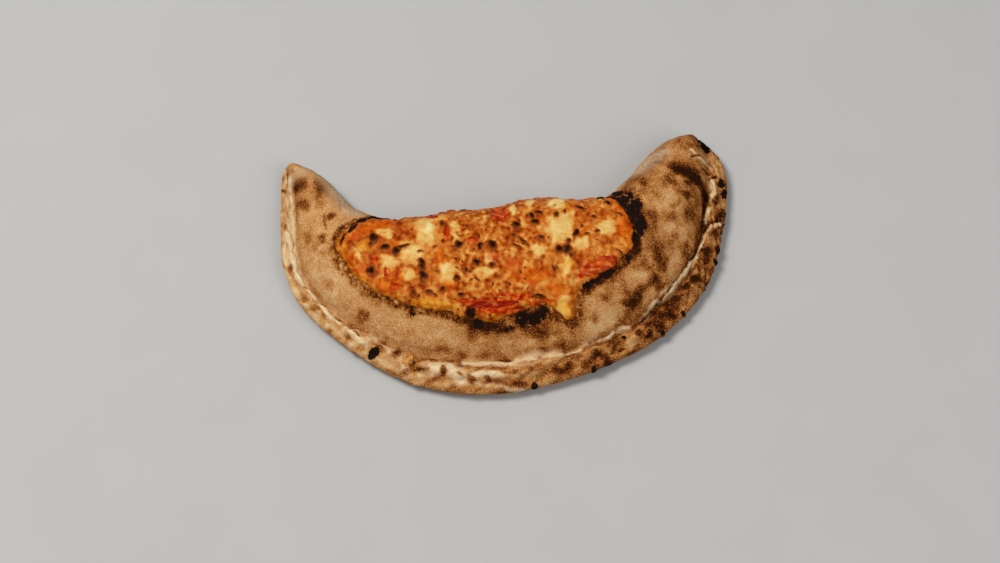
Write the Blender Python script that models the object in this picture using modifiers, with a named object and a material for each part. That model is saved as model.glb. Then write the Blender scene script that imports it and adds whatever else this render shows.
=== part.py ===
"""A baked calzone: a disc of dough folded into a crescent, closed by a rolled and crimped rim, with
melted cheese and tomato baked on its back.

Blender units are metres, +Z is up, and the flat underside lies on z = 0. +X runs from the left horn to
the right horn, +Y from the rolled rim towards the folded edge, and the origin is at the centre of the
footprint. Tables and named sizes ending in _MM are in millimetres.
"""

import math

import bmesh
import bpy
from mathutils import Vector, noise

MM = 0.001

# Ribs cross the crescent from its folded inner edge to its rolled outer edge, in order from the left
# tip to the right tip. Each holds, in mm: inner x, inner y, outer x, outer y, height of the crown,
# height of the fold, width of the rim, height of the rim.
RIBS_MM = (
    (-148.2, 73.0, -148.2, 73.0, 11.0, 9.0, 5.0, 9.0),
    (-138.5, 72.0, -151.2, 63.5, 17.0, 14.0, 6.0, 11.0),
    (-124.3, 63.8, -150.9, 44.5, 22.0, 17.0, 8.0, 12.5),
    (-110.5, 50.3, -150.2, 20.5, 26.0, 20.0, 9.5, 13.5),
    (-98.3, 37.8, -147.5, -3.5, 30.0, 23.0, 10.5, 14.0),
    (-83.0, 29.9, -135.0, -31.5, 35.0, 27.0, 11.5, 14.5),
    (-60.0, 25.6, -105.0, -60.5, 39.0, 31.0, 13.5, 15.0),
    (-35.0, 29.3, -62.0, -86.5, 42.0, 33.0, 19.0, 15.5),
    (-6.0, 32.9, -15.0, -95.0, 43.0, 34.0, 22.0, 16.0),
    (25.0, 39.8, 32.0, -87.5, 43.0, 34.0, 19.0, 16.0),
    (50.0, 39.0, 76.0, -70.5, 42.0, 33.0, 14.5, 16.0),
    (68.0, 43.9, 110.0, -48.5, 40.0, 31.0, 15.0, 16.0),
    (81.5, 57.6, 136.0, -15.5, 36.0, 28.0, 16.5, 16.0),
    (93.6, 72.2, 147.0, 24.5, 32.0, 24.0, 17.0, 16.0),
    (105.6, 85.2, 151.5, 58.0, 28.0, 20.0, 15.0, 15.5),
    (118.0, 93.0, 146.0, 80.0, 21.0, 16.0, 10.0, 13.5),
    (132.5, 94.0, 132.5, 94.0, 12.0, 10.0, 6.0, 9.0),
)
LAST_RIB = len(RIBS_MM) - 1

# Cross-section
CROWN_SHARE = 0.42  # where the crown stands, as a share of the way from the fold to the seam
SEAM_HEIGHT_SHARE = 0.80  # of the rim's height
FOLD_BELLY_SHARE = 0.45  # height of the fold's widest point, of the fold's height
RIM_BELLY_SHARE = 0.42  # height of the rim's widest point, of the rim's height
FOLD_ROUND_SHARE = 0.55  # how far the fold's rounding reaches in, of the fold's height
RIM_ROUND_START = 0.35  # where the rim starts to round down, as a share of its width
RIM_CREST_SHARE = 0.70  # the rim's crest lies in the middle of this share of its width
MOST_RIM_SHARE = 0.42  # of the whole width, which keeps the rim narrow at the tips
LEAST_RIM_SHARE = 0.05
TIP_ROUND_MM = 9.0  # length over which each tip rounds off

# Relief
SEAM_DEPTH_MM = 1.8
SEAM_REACH_MM = 3.0
LUMP_MM = 1.1
LUMP_LENGTH_MM = 24.0
CRIMP_MM = 1.3
CRIMP_LENGTH_MM = 15.0

# Mesh of the dough: stations along it, and points round each section
STATIONS = 76
RING_POINTS = 40
BODY_SHARE = 0.50  # of the ring's points: over the back, from the fold to the seam
RIM_SHARE = 0.20  # of the ring's points: over the rim; the rest lie underneath
TIP_CROWDING = 0.55  # how much closer the stations stand towards the tips

# Cheese: where it starts and ends at each place along the crescent. Place counts in ribs; the edges
# count in girth, from 0 at the widest point of the fold to 1 at the seam.
CHEESE_EDGES = (
    (4.78, 0.40, 0.53),
    (4.92, 0.33, 0.56),
    (5.20, 0.15, 0.59),
    (5.60, 0.07, 0.64),
    (6.30, 0.06, 0.68),
    (7.40, 0.05, 0.68),
    (8.20, 0.05, 0.70),
    (9.00, 0.05, 0.665),
    (9.45, 0.05, 0.63),
    (10.10, 0.07, 0.585),
    (10.75, 0.12, 0.56),
    (11.00, 0.22, 0.50),
    (11.12, 0.31, 0.45),
)
CHEESE_THICKNESS_MM = 2.6
CHEESE_EDGE_MM = 0.9
CHEESE_TAPER = 0.16  # share of the width over which the cheese thins towards its edge
CHEESE_LUMP_SHARE = 0.35
CHEESE_LUMP_LENGTH_MM = 11.0
CHEESE_COLUMNS, CHEESE_ROWS = 44, 14
ROW_CROWDING = 1.5  # how much closer the cheese's rows stand towards the fold, as a power
COLUMN_CROWDING = 0.6  # how much closer its columns stand towards its two ends
CLEARANCE_MM = 0.8

# The tongue of cheese that ran down towards the seam
TONGUE_PLACE = 9.30
TONGUE_WIDTH = 0.20
TONGUE_LENGTH = 0.09

# Pieces of tomato on the cheese: place, girth, half length along the crescent and half width across it
# in mm, thickness in mm.
TOMATO_PIECES = (
    (8.09, 0.23, 6.5, 5.5, 2.0),
    (7.61, 0.38, 4.0, 3.4, 1.8),
    (9.98, 0.56, 13.5, 6.0, 1.6),
    (8.09, 0.645, 19.0, 4.0, 1.8),
)
TOMATO_SEGMENTS, TOMATO_RINGS = 14, 8

# Cheese that leaked out over the rim: place, rim share from the seam to the widest point, half sizes.
LEAK_PLACE, LEAK_GIRTH = 6.90, 0.36
LEAK_LENGTH_MM, LEAK_WIDTH_MM, LEAK_THICKNESS_MM = 5.5, 7.5, 1.8

# Colours (linear) and roughness
DOUGH_COLOUR, DOUGH_ROUGHNESS = (0.42, 0.22, 0.095), 0.85
CHEESE_COLOUR, CHEESE_ROUGHNESS = (0.66, 0.30, 0.07), 0.35
TOMATO_COLOUR, TOMATO_ROUGHNESS = (0.33, 0.022, 0.004), 0.25
LEAK_COLOUR, LEAK_ROUGHNESS = (0.52, 0.20, 0.05), 0.4


def clamp(value, low=0.0, high=1.0):
    return max(low, min(high, value))


def quarter_round(share):
    """Rises from 0 to 1 along a quarter of a circle as share goes from 0 to 1."""
    return math.sqrt(1.0 - (1.0 - clamp(share)) ** 2)


def catmull_rom(before, start, end, after, share):
    """The point of a Catmull-Rom curve between start and end."""
    square, cube = share * share, share**3
    return tuple(
        0.5 * (2 * b + (c - a) * share + (2 * a - 5 * b + 4 * c - d) * square + (3 * b - a - 3 * c + d) * cube)
        for a, b, c, d in zip(before, start, end, after)
    )


def swapped(rib):
    """The rib read from its other side, which carries the outline smoothly round a tip."""
    return rib[2:4] + rib[0:2] + rib[4:]


PADDED_RIBS = (swapped(RIBS_MM[1]),) + RIBS_MM + (swapped(RIBS_MM[-2]),)


def rib_at(place):
    """The rib at a place between 0 and LAST_RIB."""
    index = min(int(place), LAST_RIB - 1)
    return catmull_rom(*PADDED_RIBS[index : index + 4], place - index)


def width_of(rib):
    return math.hypot(rib[2] - rib[0], rib[3] - rib[1])


def seam_share(rib):
    """Where the seam crosses the rib, as a share of the way from the fold to the outer edge."""
    return 1.0 - clamp(rib[6] / max(width_of(rib), 0.001), LEAST_RIM_SHARE, MOST_RIM_SHARE)


def tip_rounding(rib):
    """0 at a tip and 1 a little way in: how far the section has opened."""
    reach = min(math.dist(rib[0:2], RIBS_MM[0][0:2]), math.dist(rib[0:2], RIBS_MM[-1][0:2]))
    return quarter_round(reach / TIP_ROUND_MM)


def plan_point(rib, across):
    return rib[0] + (rib[2] - rib[0]) * across, rib[1] + (rib[3] - rib[1]) * across


def relief(x, y, length, seed):
    return noise.noise(Vector((x / length, y / length, seed)))


def top_height(rib, across):
    """Height of the upper surface: the rounded fold, the domed back, the seam and the rolled rim."""
    crown, fold, rim_width, rim = rib[4:]
    seam = seam_share(rib)
    seam_height = SEAM_HEIGHT_SHARE * rim
    x, y = plan_point(rib, across)
    if across < seam:
        belly = FOLD_BELLY_SHARE * fold
        crown_at = CROWN_SHARE * seam
        if across < crown_at:
            roof = fold + (crown - fold) * math.sin(math.pi / 2 * across / crown_at)
        else:
            fall = (across - crown_at) / (seam - crown_at)
            roof = seam_height + (crown - seam_height) * (1.0 - fall * fall) ** 0.9
        roof += LUMP_MM * relief(x, y, LUMP_LENGTH_MM, 0.0) * clamp((seam - across) / seam * 4)
        reach = clamp(FOLD_ROUND_SHARE * fold / max(width_of(rib), 0.001), 0.01, 0.45)
        height = belly + (roof - belly) * quarter_round(across / reach)
    else:
        belly = RIM_BELLY_SHARE * rim
        share = (across - seam) / (1.0 - seam)
        crest = rim + CRIMP_MM * relief(x, y, CRIMP_LENGTH_MM, 3.0)
        roof = seam_height + (crest - seam_height) * math.sin(math.pi * clamp(share / RIM_CREST_SHARE))
        fall = clamp((share - RIM_ROUND_START) / (1.0 - RIM_ROUND_START))
        height = belly + (roof - belly) * math.sqrt(1.0 - fall * fall)
    away = (across - seam) * width_of(rib) / SEAM_REACH_MM
    return height - SEAM_DEPTH_MM * math.exp(-away * away)


def bottom_height(rib, across):
    """Height of the underside: flat on the floor, and curling up to the widest points at both sides."""
    fold, rim, width = rib[5], rib[7], max(width_of(rib), 0.001)
    fold_belly, rim_belly = FOLD_BELLY_SHARE * fold, RIM_BELLY_SHARE * rim
    inner = 1.0 - quarter_round(across * width / fold_belly / 1.3)
    outer = 1.0 - quarter_round((1.0 - across) * width / rim_belly / 1.6)
    return max(fold_belly * inner, rim_belly * outer)


def section_point(rib, across, height):
    """A point of the dough in metres. Near a tip the section closes towards its widest point."""
    belly = 0.5 * (FOLD_BELLY_SHARE * rib[5] + RIM_BELLY_SHARE * rib[7])
    x, y = plan_point(rib, across)
    return Vector((x, y, belly + (height - belly) * tip_rounding(rib))) * MM


def eased(share):
    """Runs from 0 to 1 with its steps crowded at both ends."""
    return 0.5 - 0.5 * math.cos(math.pi * share)


def crowded(share, crowding):
    """Runs from 0 to 1 with its steps partly crowded at both ends."""
    return share + crowding * (eased(share) - share)


def back_point(place, girth):
    """A point on the back of the dough: girth 0 is the fold's widest point, girth 1 the seam."""
    rib = rib_at(place)
    across = seam_share(rib) * eased(girth)
    return section_point(rib, across, top_height(rib, across))


def rim_point(place, girth):
    """A point on the rim: girth 0 is the seam, girth 1 the rim's widest point."""
    rib = rib_at(place)
    seam = seam_share(rib)
    across = seam + (1.0 - seam) * eased(girth)
    return section_point(rib, across, top_height(rib, across))


def under_point(place, girth):
    """A point underneath: girth 0 is the rim's widest point, girth 1 the fold's."""
    rib = rib_at(place)
    across = 1.0 - eased(girth)
    return section_point(rib, across, bottom_height(rib, across))


def normal_at(surface, place, girth):
    """The outward normal of a surface of the dough."""
    step = 0.01
    along = surface(place + step, girth) - surface(place - step, girth)
    over = surface(place, girth + step) - surface(place, girth - step)
    return over.cross(along).normalized()


def station_places():
    """Where the stations stand, evenly along the crescent's middle line and closer at the tips."""
    samples = 1600
    places = [LAST_RIB * i / samples for i in range(samples + 1)]
    middles = [plan_point(rib_at(place), 0.5) for place in places]
    lengths = [0.0]
    for before, after in zip(middles, middles[1:]):
        lengths.append(lengths[-1] + math.dist(before, after))
    found, index = [], 0
    for station in range(STATIONS + 1):
        reach = crowded(station / STATIONS, TIP_CROWDING) * lengths[-1]
        while index < samples and lengths[index] < reach:
            index += 1
        found.append(places[index])
    return found


def material(name, colour, roughness):
    made = bpy.data.materials.new(name)
    made.use_nodes = True
    shader = made.node_tree.nodes["Principled BSDF"]
    shader.inputs["Base Color"].default_value = (*colour, 1.0)
    shader.inputs["Roughness"].default_value = roughness
    shader.inputs["Metallic"].default_value = 0.0
    return made


def finished(name, shape, surface, collection):
    """Turns a bmesh into a smooth named object of the collection, with its faces outwards."""
    if shape.calc_volume(signed=True) < 0:
        bmesh.ops.reverse_faces(shape, faces=shape.faces)
    mesh = bpy.data.meshes.new(name)
    shape.to_mesh(mesh)
    shape.free()
    mesh.shade_smooth()
    made = bpy.data.objects.new(name, mesh)
    made.data.materials.append(surface)
    collection.objects.link(made)
    return made


def make_crust(collection):
    """The folded dough: a sphere whose poles become the tips and whose circles become the sections."""
    places = station_places()
    shape = bmesh.new()
    bmesh.ops.create_uvsphere(shape, u_segments=RING_POINTS, v_segments=STATIONS, radius=1.0)
    for vertex in shape.verts:
        station = round(math.acos(clamp(vertex.co.z, -1.0, 1.0)) / math.pi * STATIONS)
        turn = round(math.atan2(vertex.co.y, vertex.co.x) / math.tau * RING_POINTS) % RING_POINTS
        share, place = turn / RING_POINTS, places[station]
        if station in (0, STATIONS):
            share = 0.0
        if share < BODY_SHARE:
            vertex.co = back_point(place, share / BODY_SHARE)
        elif share < BODY_SHARE + RIM_SHARE:
            vertex.co = rim_point(place, (share - BODY_SHARE) / RIM_SHARE)
        else:
            vertex.co = under_point(place, (share - BODY_SHARE - RIM_SHARE) / (1.0 - BODY_SHARE - RIM_SHARE))
    return finished("crust", shape, material("baked_dough", DOUGH_COLOUR, DOUGH_ROUGHNESS), collection)


def cheese_edges(place):
    """The girths where the cheese starts and ends, with the tongue that ran down."""
    for before, after in zip(CHEESE_EDGES, CHEESE_EDGES[1:]):
        if place <= after[0]:
            break
    share = clamp((place - before[0]) / (after[0] - before[0]))
    start, end = (before[i] + (after[i] - before[i]) * share for i in (1, 2))
    tongue = (place - TONGUE_PLACE) / TONGUE_WIDTH
    return start, end + TONGUE_LENGTH * math.exp(-tongue * tongue)


def cheese_thickness(place, girth):
    """How thick the cheese lies there, in mm: full and lumpy inside, thin at its edge."""
    start, end = cheese_edges(place)
    share = clamp((girth - start) / (end - start))
    along = clamp((place - CHEESE_EDGES[0][0]) / (CHEESE_EDGES[-1][0] - CHEESE_EDGES[0][0]))
    inside = min(share, 1.0 - share) / CHEESE_TAPER
    inside = min(inside, min(along, 1.0 - along) / CHEESE_TAPER * 3)
    point = back_point(place, girth) / MM
    lump = 1.0 + CHEESE_LUMP_SHARE * relief(point.x, point.y, CHEESE_LUMP_LENGTH_MM, 7.0)
    return CHEESE_EDGE_MM + (CHEESE_THICKNESS_MM * lump - CHEESE_EDGE_MM) * quarter_round(inside)


def make_cheese(collection):
    """Melted cheese: an open sheet that lies on the dough, thickened by Solidify as its group says."""
    first, last = CHEESE_EDGES[0][0], CHEESE_EDGES[-1][0]
    most = CHEESE_THICKNESS_MM * (1.0 + CHEESE_LUMP_SHARE)
    shape = bmesh.new()
    bmesh.ops.create_grid(shape, x_segments=CHEESE_COLUMNS, y_segments=CHEESE_ROWS, size=1.0)
    shape.verts.index_update()
    thickness = {}
    for vertex in shape.verts:
        place = first + (last - first) * crowded((vertex.co.x + 1.0) / 2, COLUMN_CROWDING)
        start, end = cheese_edges(place)
        girth = start + (end - start) * ((vertex.co.y + 1.0) / 2) ** ROW_CROWDING
        thickness[vertex.index] = cheese_thickness(place, girth) / most
        normal = normal_at(back_point, place, girth)
        vertex.co = back_point(place, girth) + normal * CLEARANCE_MM * MM
    made = finished(
        "cheese_topping", shape, material("melted_cheese", CHEESE_COLOUR, CHEESE_ROUGHNESS), collection
    )
    if made.data.polygons[len(made.data.polygons) // 2].normal.z < 0:
        made.data.flip_normals()
    group = made.vertex_groups.new(name="thickness")
    for index, share in thickness.items():
        group.add([index], share, "REPLACE")
    thicken = made.modifiers.new("Solidify", "SOLIDIFY")
    thicken.thickness = most * MM
    thicken.offset = 1.0
    thicken.vertex_group = group.name
    thicken.thickness_vertex_group = 0.0
    return made


def make_drop(name, collection, surface, carrier, lift, place, girth, length, width, thickness):
    """A flat drop that lies on a carrier surface, which lift raises: a sphere with its lower half draped.
    Its half length runs along the crescent and its half width across it, in mm."""
    step = 0.02
    along = (carrier(place + step, girth) - carrier(place - step, girth)).length / (2 * step) / MM
    over = (carrier(place, girth + step) - carrier(place, girth - step)).length / (2 * step) / MM
    shape = bmesh.new()
    bmesh.ops.create_uvsphere(shape, u_segments=TOMATO_SEGMENTS, v_segments=TOMATO_RINGS, radius=1.0)
    for vertex in shape.verts:
        at = place + vertex.co.x * length / along
        round_at = girth + vertex.co.y * width / over
        height = lift(at, round_at) + CLEARANCE_MM + thickness * (clamp(vertex.co.z) + 0.3 * clamp(vertex.co.z + 1))
        vertex.co = carrier(at, round_at) + normal_at(carrier, at, round_at) * height * MM
    return finished(name, shape, surface, collection)


def make_tomatoes(collection):
    surface = material("cooked_tomato", TOMATO_COLOUR, TOMATO_ROUGHNESS)

    def on_cheese(place, girth):
        return CLEARANCE_MM + cheese_thickness(place, girth)

    for number, piece in enumerate(TOMATO_PIECES, start=1):
        make_drop(f"tomato_piece_{number}", collection, surface, back_point, on_cheese, *piece)


def make_leak(collection):
    surface = material("browned_cheese", LEAK_COLOUR, LEAK_ROUGHNESS)
    make_drop(
        "leaked_cheese", collection, surface, rim_point, lambda place, girth: 0.0,
        LEAK_PLACE, LEAK_GIRTH, LEAK_LENGTH_MM, LEAK_WIDTH_MM, LEAK_THICKNESS_MM,
    )


def main():
    for old in list(bpy.data.objects):
        bpy.data.objects.remove(old)
    collection = bpy.data.collections.new("calzone")
    bpy.context.scene.collection.children.link(collection)
    make_crust(collection)
    make_cheese(collection)
    make_tomatoes(collection)
    make_leak(collection)


main()
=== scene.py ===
"""Looks of the baked calzone: the dough with its rolled rim, browning and char, the melted cheese with
its blisters and sauce, the pieces of tomato and the cheese that leaked out over the rim.

Lengths in tables and in names ending in _MM are millimetres in the frame of the model. The dough's
surface is addressed by place, which counts ribs from the left tip to the right tip, and girth, which
runs from 0 at the widest point of the fold to 1 at the seam, or from 0 at the seam to 1 at the rim's
widest point.
"""

import math

import bpy
import numpy as np
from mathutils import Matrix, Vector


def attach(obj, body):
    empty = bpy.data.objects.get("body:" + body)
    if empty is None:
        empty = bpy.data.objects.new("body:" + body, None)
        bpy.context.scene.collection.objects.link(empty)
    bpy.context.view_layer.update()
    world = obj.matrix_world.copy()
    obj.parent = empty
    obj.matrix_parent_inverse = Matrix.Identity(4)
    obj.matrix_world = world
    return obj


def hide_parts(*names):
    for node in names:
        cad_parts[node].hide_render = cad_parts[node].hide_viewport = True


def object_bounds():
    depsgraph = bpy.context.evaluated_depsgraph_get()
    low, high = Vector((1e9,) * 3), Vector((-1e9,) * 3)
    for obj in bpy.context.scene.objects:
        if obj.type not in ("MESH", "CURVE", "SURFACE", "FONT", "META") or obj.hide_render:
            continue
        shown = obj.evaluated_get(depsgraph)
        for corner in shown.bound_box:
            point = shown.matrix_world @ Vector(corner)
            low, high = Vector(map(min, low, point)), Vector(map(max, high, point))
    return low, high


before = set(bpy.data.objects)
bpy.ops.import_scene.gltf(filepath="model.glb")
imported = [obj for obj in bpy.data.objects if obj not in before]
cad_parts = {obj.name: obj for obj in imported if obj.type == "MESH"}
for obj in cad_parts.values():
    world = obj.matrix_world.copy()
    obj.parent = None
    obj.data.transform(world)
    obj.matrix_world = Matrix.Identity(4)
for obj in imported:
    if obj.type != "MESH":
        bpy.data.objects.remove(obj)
CAD_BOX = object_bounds()
MM = 0.001

# Shape of the dough, as in the CAD model. Each rib holds inner x, inner y, outer x, outer y, height of
# the crown, height of the fold, width of the rim, height of the rim.
RIBS_MM = np.array((
    (-148.2, 73.0, -148.2, 73.0, 11.0, 9.0, 5.0, 9.0),
    (-138.5, 72.0, -151.2, 63.5, 17.0, 14.0, 6.0, 11.0),
    (-124.3, 63.8, -150.9, 44.5, 22.0, 17.0, 8.0, 12.5),
    (-110.5, 50.3, -150.2, 20.5, 26.0, 20.0, 9.5, 13.5),
    (-98.3, 37.8, -147.5, -3.5, 30.0, 23.0, 10.5, 14.0),
    (-83.0, 29.9, -135.0, -31.5, 35.0, 27.0, 11.5, 14.5),
    (-60.0, 25.6, -105.0, -60.5, 39.0, 31.0, 13.5, 15.0),
    (-35.0, 29.3, -62.0, -86.5, 42.0, 33.0, 19.0, 15.5),
    (-6.0, 32.9, -15.0, -95.0, 43.0, 34.0, 22.0, 16.0),
    (25.0, 39.8, 32.0, -87.5, 43.0, 34.0, 19.0, 16.0),
    (50.0, 39.0, 76.0, -70.5, 42.0, 33.0, 14.5, 16.0),
    (68.0, 43.9, 110.0, -48.5, 40.0, 31.0, 15.0, 16.0),
    (81.5, 57.6, 136.0, -15.5, 36.0, 28.0, 16.5, 16.0),
    (93.6, 72.2, 147.0, 24.5, 32.0, 24.0, 17.0, 16.0),
    (105.6, 85.2, 151.5, 58.0, 28.0, 20.0, 15.0, 15.5),
    (118.0, 93.0, 146.0, 80.0, 21.0, 16.0, 10.0, 13.5),
    (132.5, 94.0, 132.5, 94.0, 12.0, 10.0, 6.0, 9.0),
))
LAST_RIB = len(RIBS_MM) - 1
CROWN_SHARE = 0.42
SEAM_HEIGHT_SHARE = 0.80
FOLD_BELLY_SHARE = 0.45
RIM_BELLY_SHARE = 0.42
FOLD_ROUND_SHARE = 0.55
RIM_ROUND_START = 0.35
RIM_CREST_SHARE = 0.70
TIP_ROUND_MM = 9.0
SEAM_DEPTH_MM, SEAM_REACH_MM = 1.8, 3.0

# Mesh of the dough: stations along it, and points over the back, over the rim and underneath
STATIONS = 580
BACK_POINTS, RIM_POINTS, UNDER_POINTS = 96, 50, 20
TIP_CROWDING = 0.55

# Mesh of the cheese: stations, rows across its top, and rows hidden inside the dough
CHEESE_STATIONS, CHEESE_ROWS, HIDDEN_ROWS = 430, 200, 3
CHEESE_FIRST, CHEESE_LAST = 4.55, 11.35
CHEESE_MARGIN_MM = 5.0
CHEESE_THICKNESS_MM = 1.7

# Where the cheese starts and ends at each place, in girth
CHEESE_EDGES = np.array((
    (4.78, 0.40, 0.53),
    (4.84, 0.35, 0.55),
    (4.95, 0.31, 0.57),
    (5.20, 0.25, 0.60),
    (5.60, 0.20, 0.64),
    (5.90, 0.14, 0.655),
    (6.15, 0.05, 0.67),
    (7.40, 0.04, 0.675),
    (7.75, 0.04, 0.70),
    (8.00, 0.04, 0.718),
    (8.22, 0.04, 0.712),
    (8.40, 0.04, 0.69),
    (9.00, 0.04, 0.66),
    (9.60, 0.04, 0.63),
    (10.20, 0.05, 0.58),
    (10.80, 0.08, 0.55),
    (11.00, 0.17, 0.50),
    (11.10, 0.27, 0.45),
    (11.14, 0.33, 0.40),
))

# How scorched the dough is along the inner and the outer edge of the cheese, at these places
CHAR_PLACES = (4.6, 5.1, 5.5, 5.9, 6.3, 7.2, 7.5, 8.9, 9.2, 9.4, 9.8, 10.6, 11.2)
INNER_CHAR = (0.55, 0.8, 1.0, 0.9, 0.35, 0.4, 0.35, 0.2, 0.2, 0.2, 0.4, 0.9, 1.0)
OUTER_CHAR = (0.56, 0.56, 0.56, 0.56, 0.56, 0.58, 0.60, 0.64, 0.3, 0.35, 0.55, 0.6, 0.95)

# Spots on the dough. Each row holds x, y, half length, half width and turn in degrees.
DARK_SPOTS = (
    # left horn and the lone spot beside the seam
    (-137, 52, 5, 4, 0), (-124, 49, 6, 4, -60), (-115, 24, 3, 2, 25), (-121, 9, 3, 2, -25), (-93, -44, 4, 3, -20),
    # below the char in front of the cheese
    (-21, -59, 3, 4, 0), (-7, -57, 9, 2, -5), (22, -57, 8, 3, 0), (-12, -57, 3, 3, 0),
    # rim at the front
    (-70, -68, 3, 2, 85), (-40, -81, 3, 2, 85), (-71, -69, 3, 2, 0), (-64, -71, 2, 2, 0), (-47, -74, 3, 1, 0), (60, -69, 4, 2, 5), (0, -73, 4, 1, 0),
    # right side, back and rim
    (88, -33, 5, 3, 60), (91, -28, 3, 2, 5), (104, -8, 4, 3, 0), (105, -12, 3, 2, 40), (128, -15, 4, 2, 40),
    (135, 6, 4, 2, 25), (142, 20, 3, 2, 70), (112, -34, 4, 3, 0), (102, -42, 4, 4, 0), (113, -41, 2, 2, 0),
    # right horn
    (121, 58, 5, 3, 0), (129, 55, 5, 3, -20), (136, 48, 3, 2, -60), (123, 41, 3, 2, 35),
    (135, 40, 3, 1, 85), (143, 43, 3, 2, 40),
)
BROWN_SPOTS = (
    (-135, 37, 4, 3, -25), (-120, 5, 2, 1, 0), (-148, 53, 4, 1, -35), (-143, -6, 2, 2, 0), (-133, -27, 3, 2, -65),
    (-103, -57, 2, 2, 0), (-61, -77, 3, 2, 80), (-65, -81, 3, 2, 20), (-82, -65, 3, 1, 0), (-54, -80, 5, 1, -5), (-29, -84, 2, 1, -30), (-21, -87, 2, 2, 0),
    (-11, -86, 2, 1, -25), (27, -67, 3, 1, 0), (11, -89, 4, 2, 0), (71, -63, 3, 3, 0), (77, -65, 3, 1, 10),
    (84, -66, 3, 1, 25), (68, -73, 3, 1, 10), (66, -70, 3, 2, 5), (100, -20, 3, 2, 30), (120, 5, 4, 2, 30),
    (120, 0, 3, 2, 60), (135, 0, 5, 3, 35), (130, -6, 3, 3, 0), (137, -6, 4, 2, 20), (97, -48, 3, 2, 30),
    (103, -49, 4, 2, 10), (83, -38, 3, 2, 80), (80, -38, 3, 2, 0), (109, -40, 4, 2, 15), (120, 63, 6, 2, 0),
    (147, 35, 4, 3, 75), (131, 80, 3, 1, -70), (116, 60, 4, 2, 10), (123, 50, 2, 1, 30), (142, 61, 2, 1, 0),
)
FAINT_SPOTS = (
    (-125, 41, 2, 2, 0), (-132, 32, 2, 2, 0), (-123, 34, 3, 3, 0), (-131, 11, 4, 2, -70), (-125, 4, 3, 2, -70),
    (-120, -2, 3, 2, -20), (-142, -11, 3, 2, -70), (-126, -35, 3, 2, 0), (-120, -43, 3, 2, -65),
    (-116, -51, 3, 2, -35), (-103, -50, 4, 2, 75), (-93, -64, 3, 2, 0), (-116, -22, 4, 2, -45),
    (-61, -47, 3, 2, 0), (-80, -60, 4, 2, 25), (-43, -66, 4, 2, 0), (-38, -68, 4, 1, -15), (-28, -70, 3, 2, 0),
    (-26, -77, 4, 3, -60), (-3, -89, 4, 2, -10), (26, -81, 8, 3, 5), (36, -57, 3, 2, 5), (23, -60, 5, 3, -5),
    (37, -63, 3, 2, 5), (44, -55, 3, 2, -65), (43, -77, 4, 2, 0), (53, -75, 4, 2, 5), (48, -71, 4, 2, 0),
    (90, -62, 4, 2, 20), (96, -57, 4, 2, 20), (66, -37, 3, 2, 5), (60, -48, 3, 2, 10), (93, -12, 4, 2, 75),
    (102, -24, 3, 2, 20), (95, -24, 4, 2, 15), (119, -21, 3, 2, 0), (124, -24, 3, 2, 30), (28, -53, 3, 2, -10),
    (109, 22, 5, 3, 10), (124, 29, 5, 3, 40), (98, 23, 4, 4, 0), (113, 31, 3, 2, 35), (97, 6, 6, 4, -85),
    (100, -2, 5, 4, 45), (89, -5, 4, 3, 45), (120, 42, 3, 2, 35), (94, 47, 4, 3, -80), (108, 70, 3, 1, 90),
)
CHAR_SPOTS = (
    # behind the left end of the cheese
    (-78, 26, 7, 4, -15), (-86, 23, 6, 4, 10), (-94, 18, 5, 3, 40), (-100, 11, 5, 2, 50), (-106, 4, 4, 1, 60),
    # in front of the cheese
    (-22, -48, 4, 4, 0), (-17, -54, 5, 3, -20), (3, -57, 4, 1, 10),
    (12, -51, 5, 4, 20), (20, -50, 6, 4, 10), (26, -47, 3, 3, 0),
    # round the right end of the cheese
    (87, 26, 8, 5, 90), (80, 33, 4, 3, 0), (84, 38, 4, 2, 85), (77, 41, 5, 3, -45), (65, 34, 3, 3, 0),
    (90, 13, 8, 4, 90), (87, 3, 6, 3, 85), (82, -11, 3, 2, 85), (67, -22, 6, 3, 30), (60, -27, 5, 2, 20),
    (54, -30, 4, 2, 20),
    # tip of the right horn and two blisters on its rim
    (136, 87, 5, 5, 0), (147, 58, 3, 2, 85), (149, 51, 3, 2, 75),
    # pinprick beside the cheese
    (-60, -47, 2, 1, -15),
)
BRIGHT_AREAS = (
    (110, 33, 9, 6, 80), (117, 14, 7, 5, 0), (114, 0, 8, 5, 80), (111, -12, 8, 5, 60), (90, -22, 5, 4, 0),
    (141, 66, 10, 5, 80), (146, 46, 10, 4, 90), (128, 75, 6, 4, 40), (60, -50, 14, 5, 15), (-45, -57, 16, 5, -8),
    (-112, -8, 8, 14, 30), (-130, 25, 6, 10, 0),
)
# Hard black beads on the rim: x, y, radius
BEADS = ((20, -90, 2.1), (59, -78, 1.8), (119, -38, 1.6), (142, 0, 2.0), (105, -52, 1.5), (79, -57, 1.5))
# The burst blister on the left of the rim
BURST_BLISTER = ((-86, -68, 4, 3, 35),)

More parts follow.
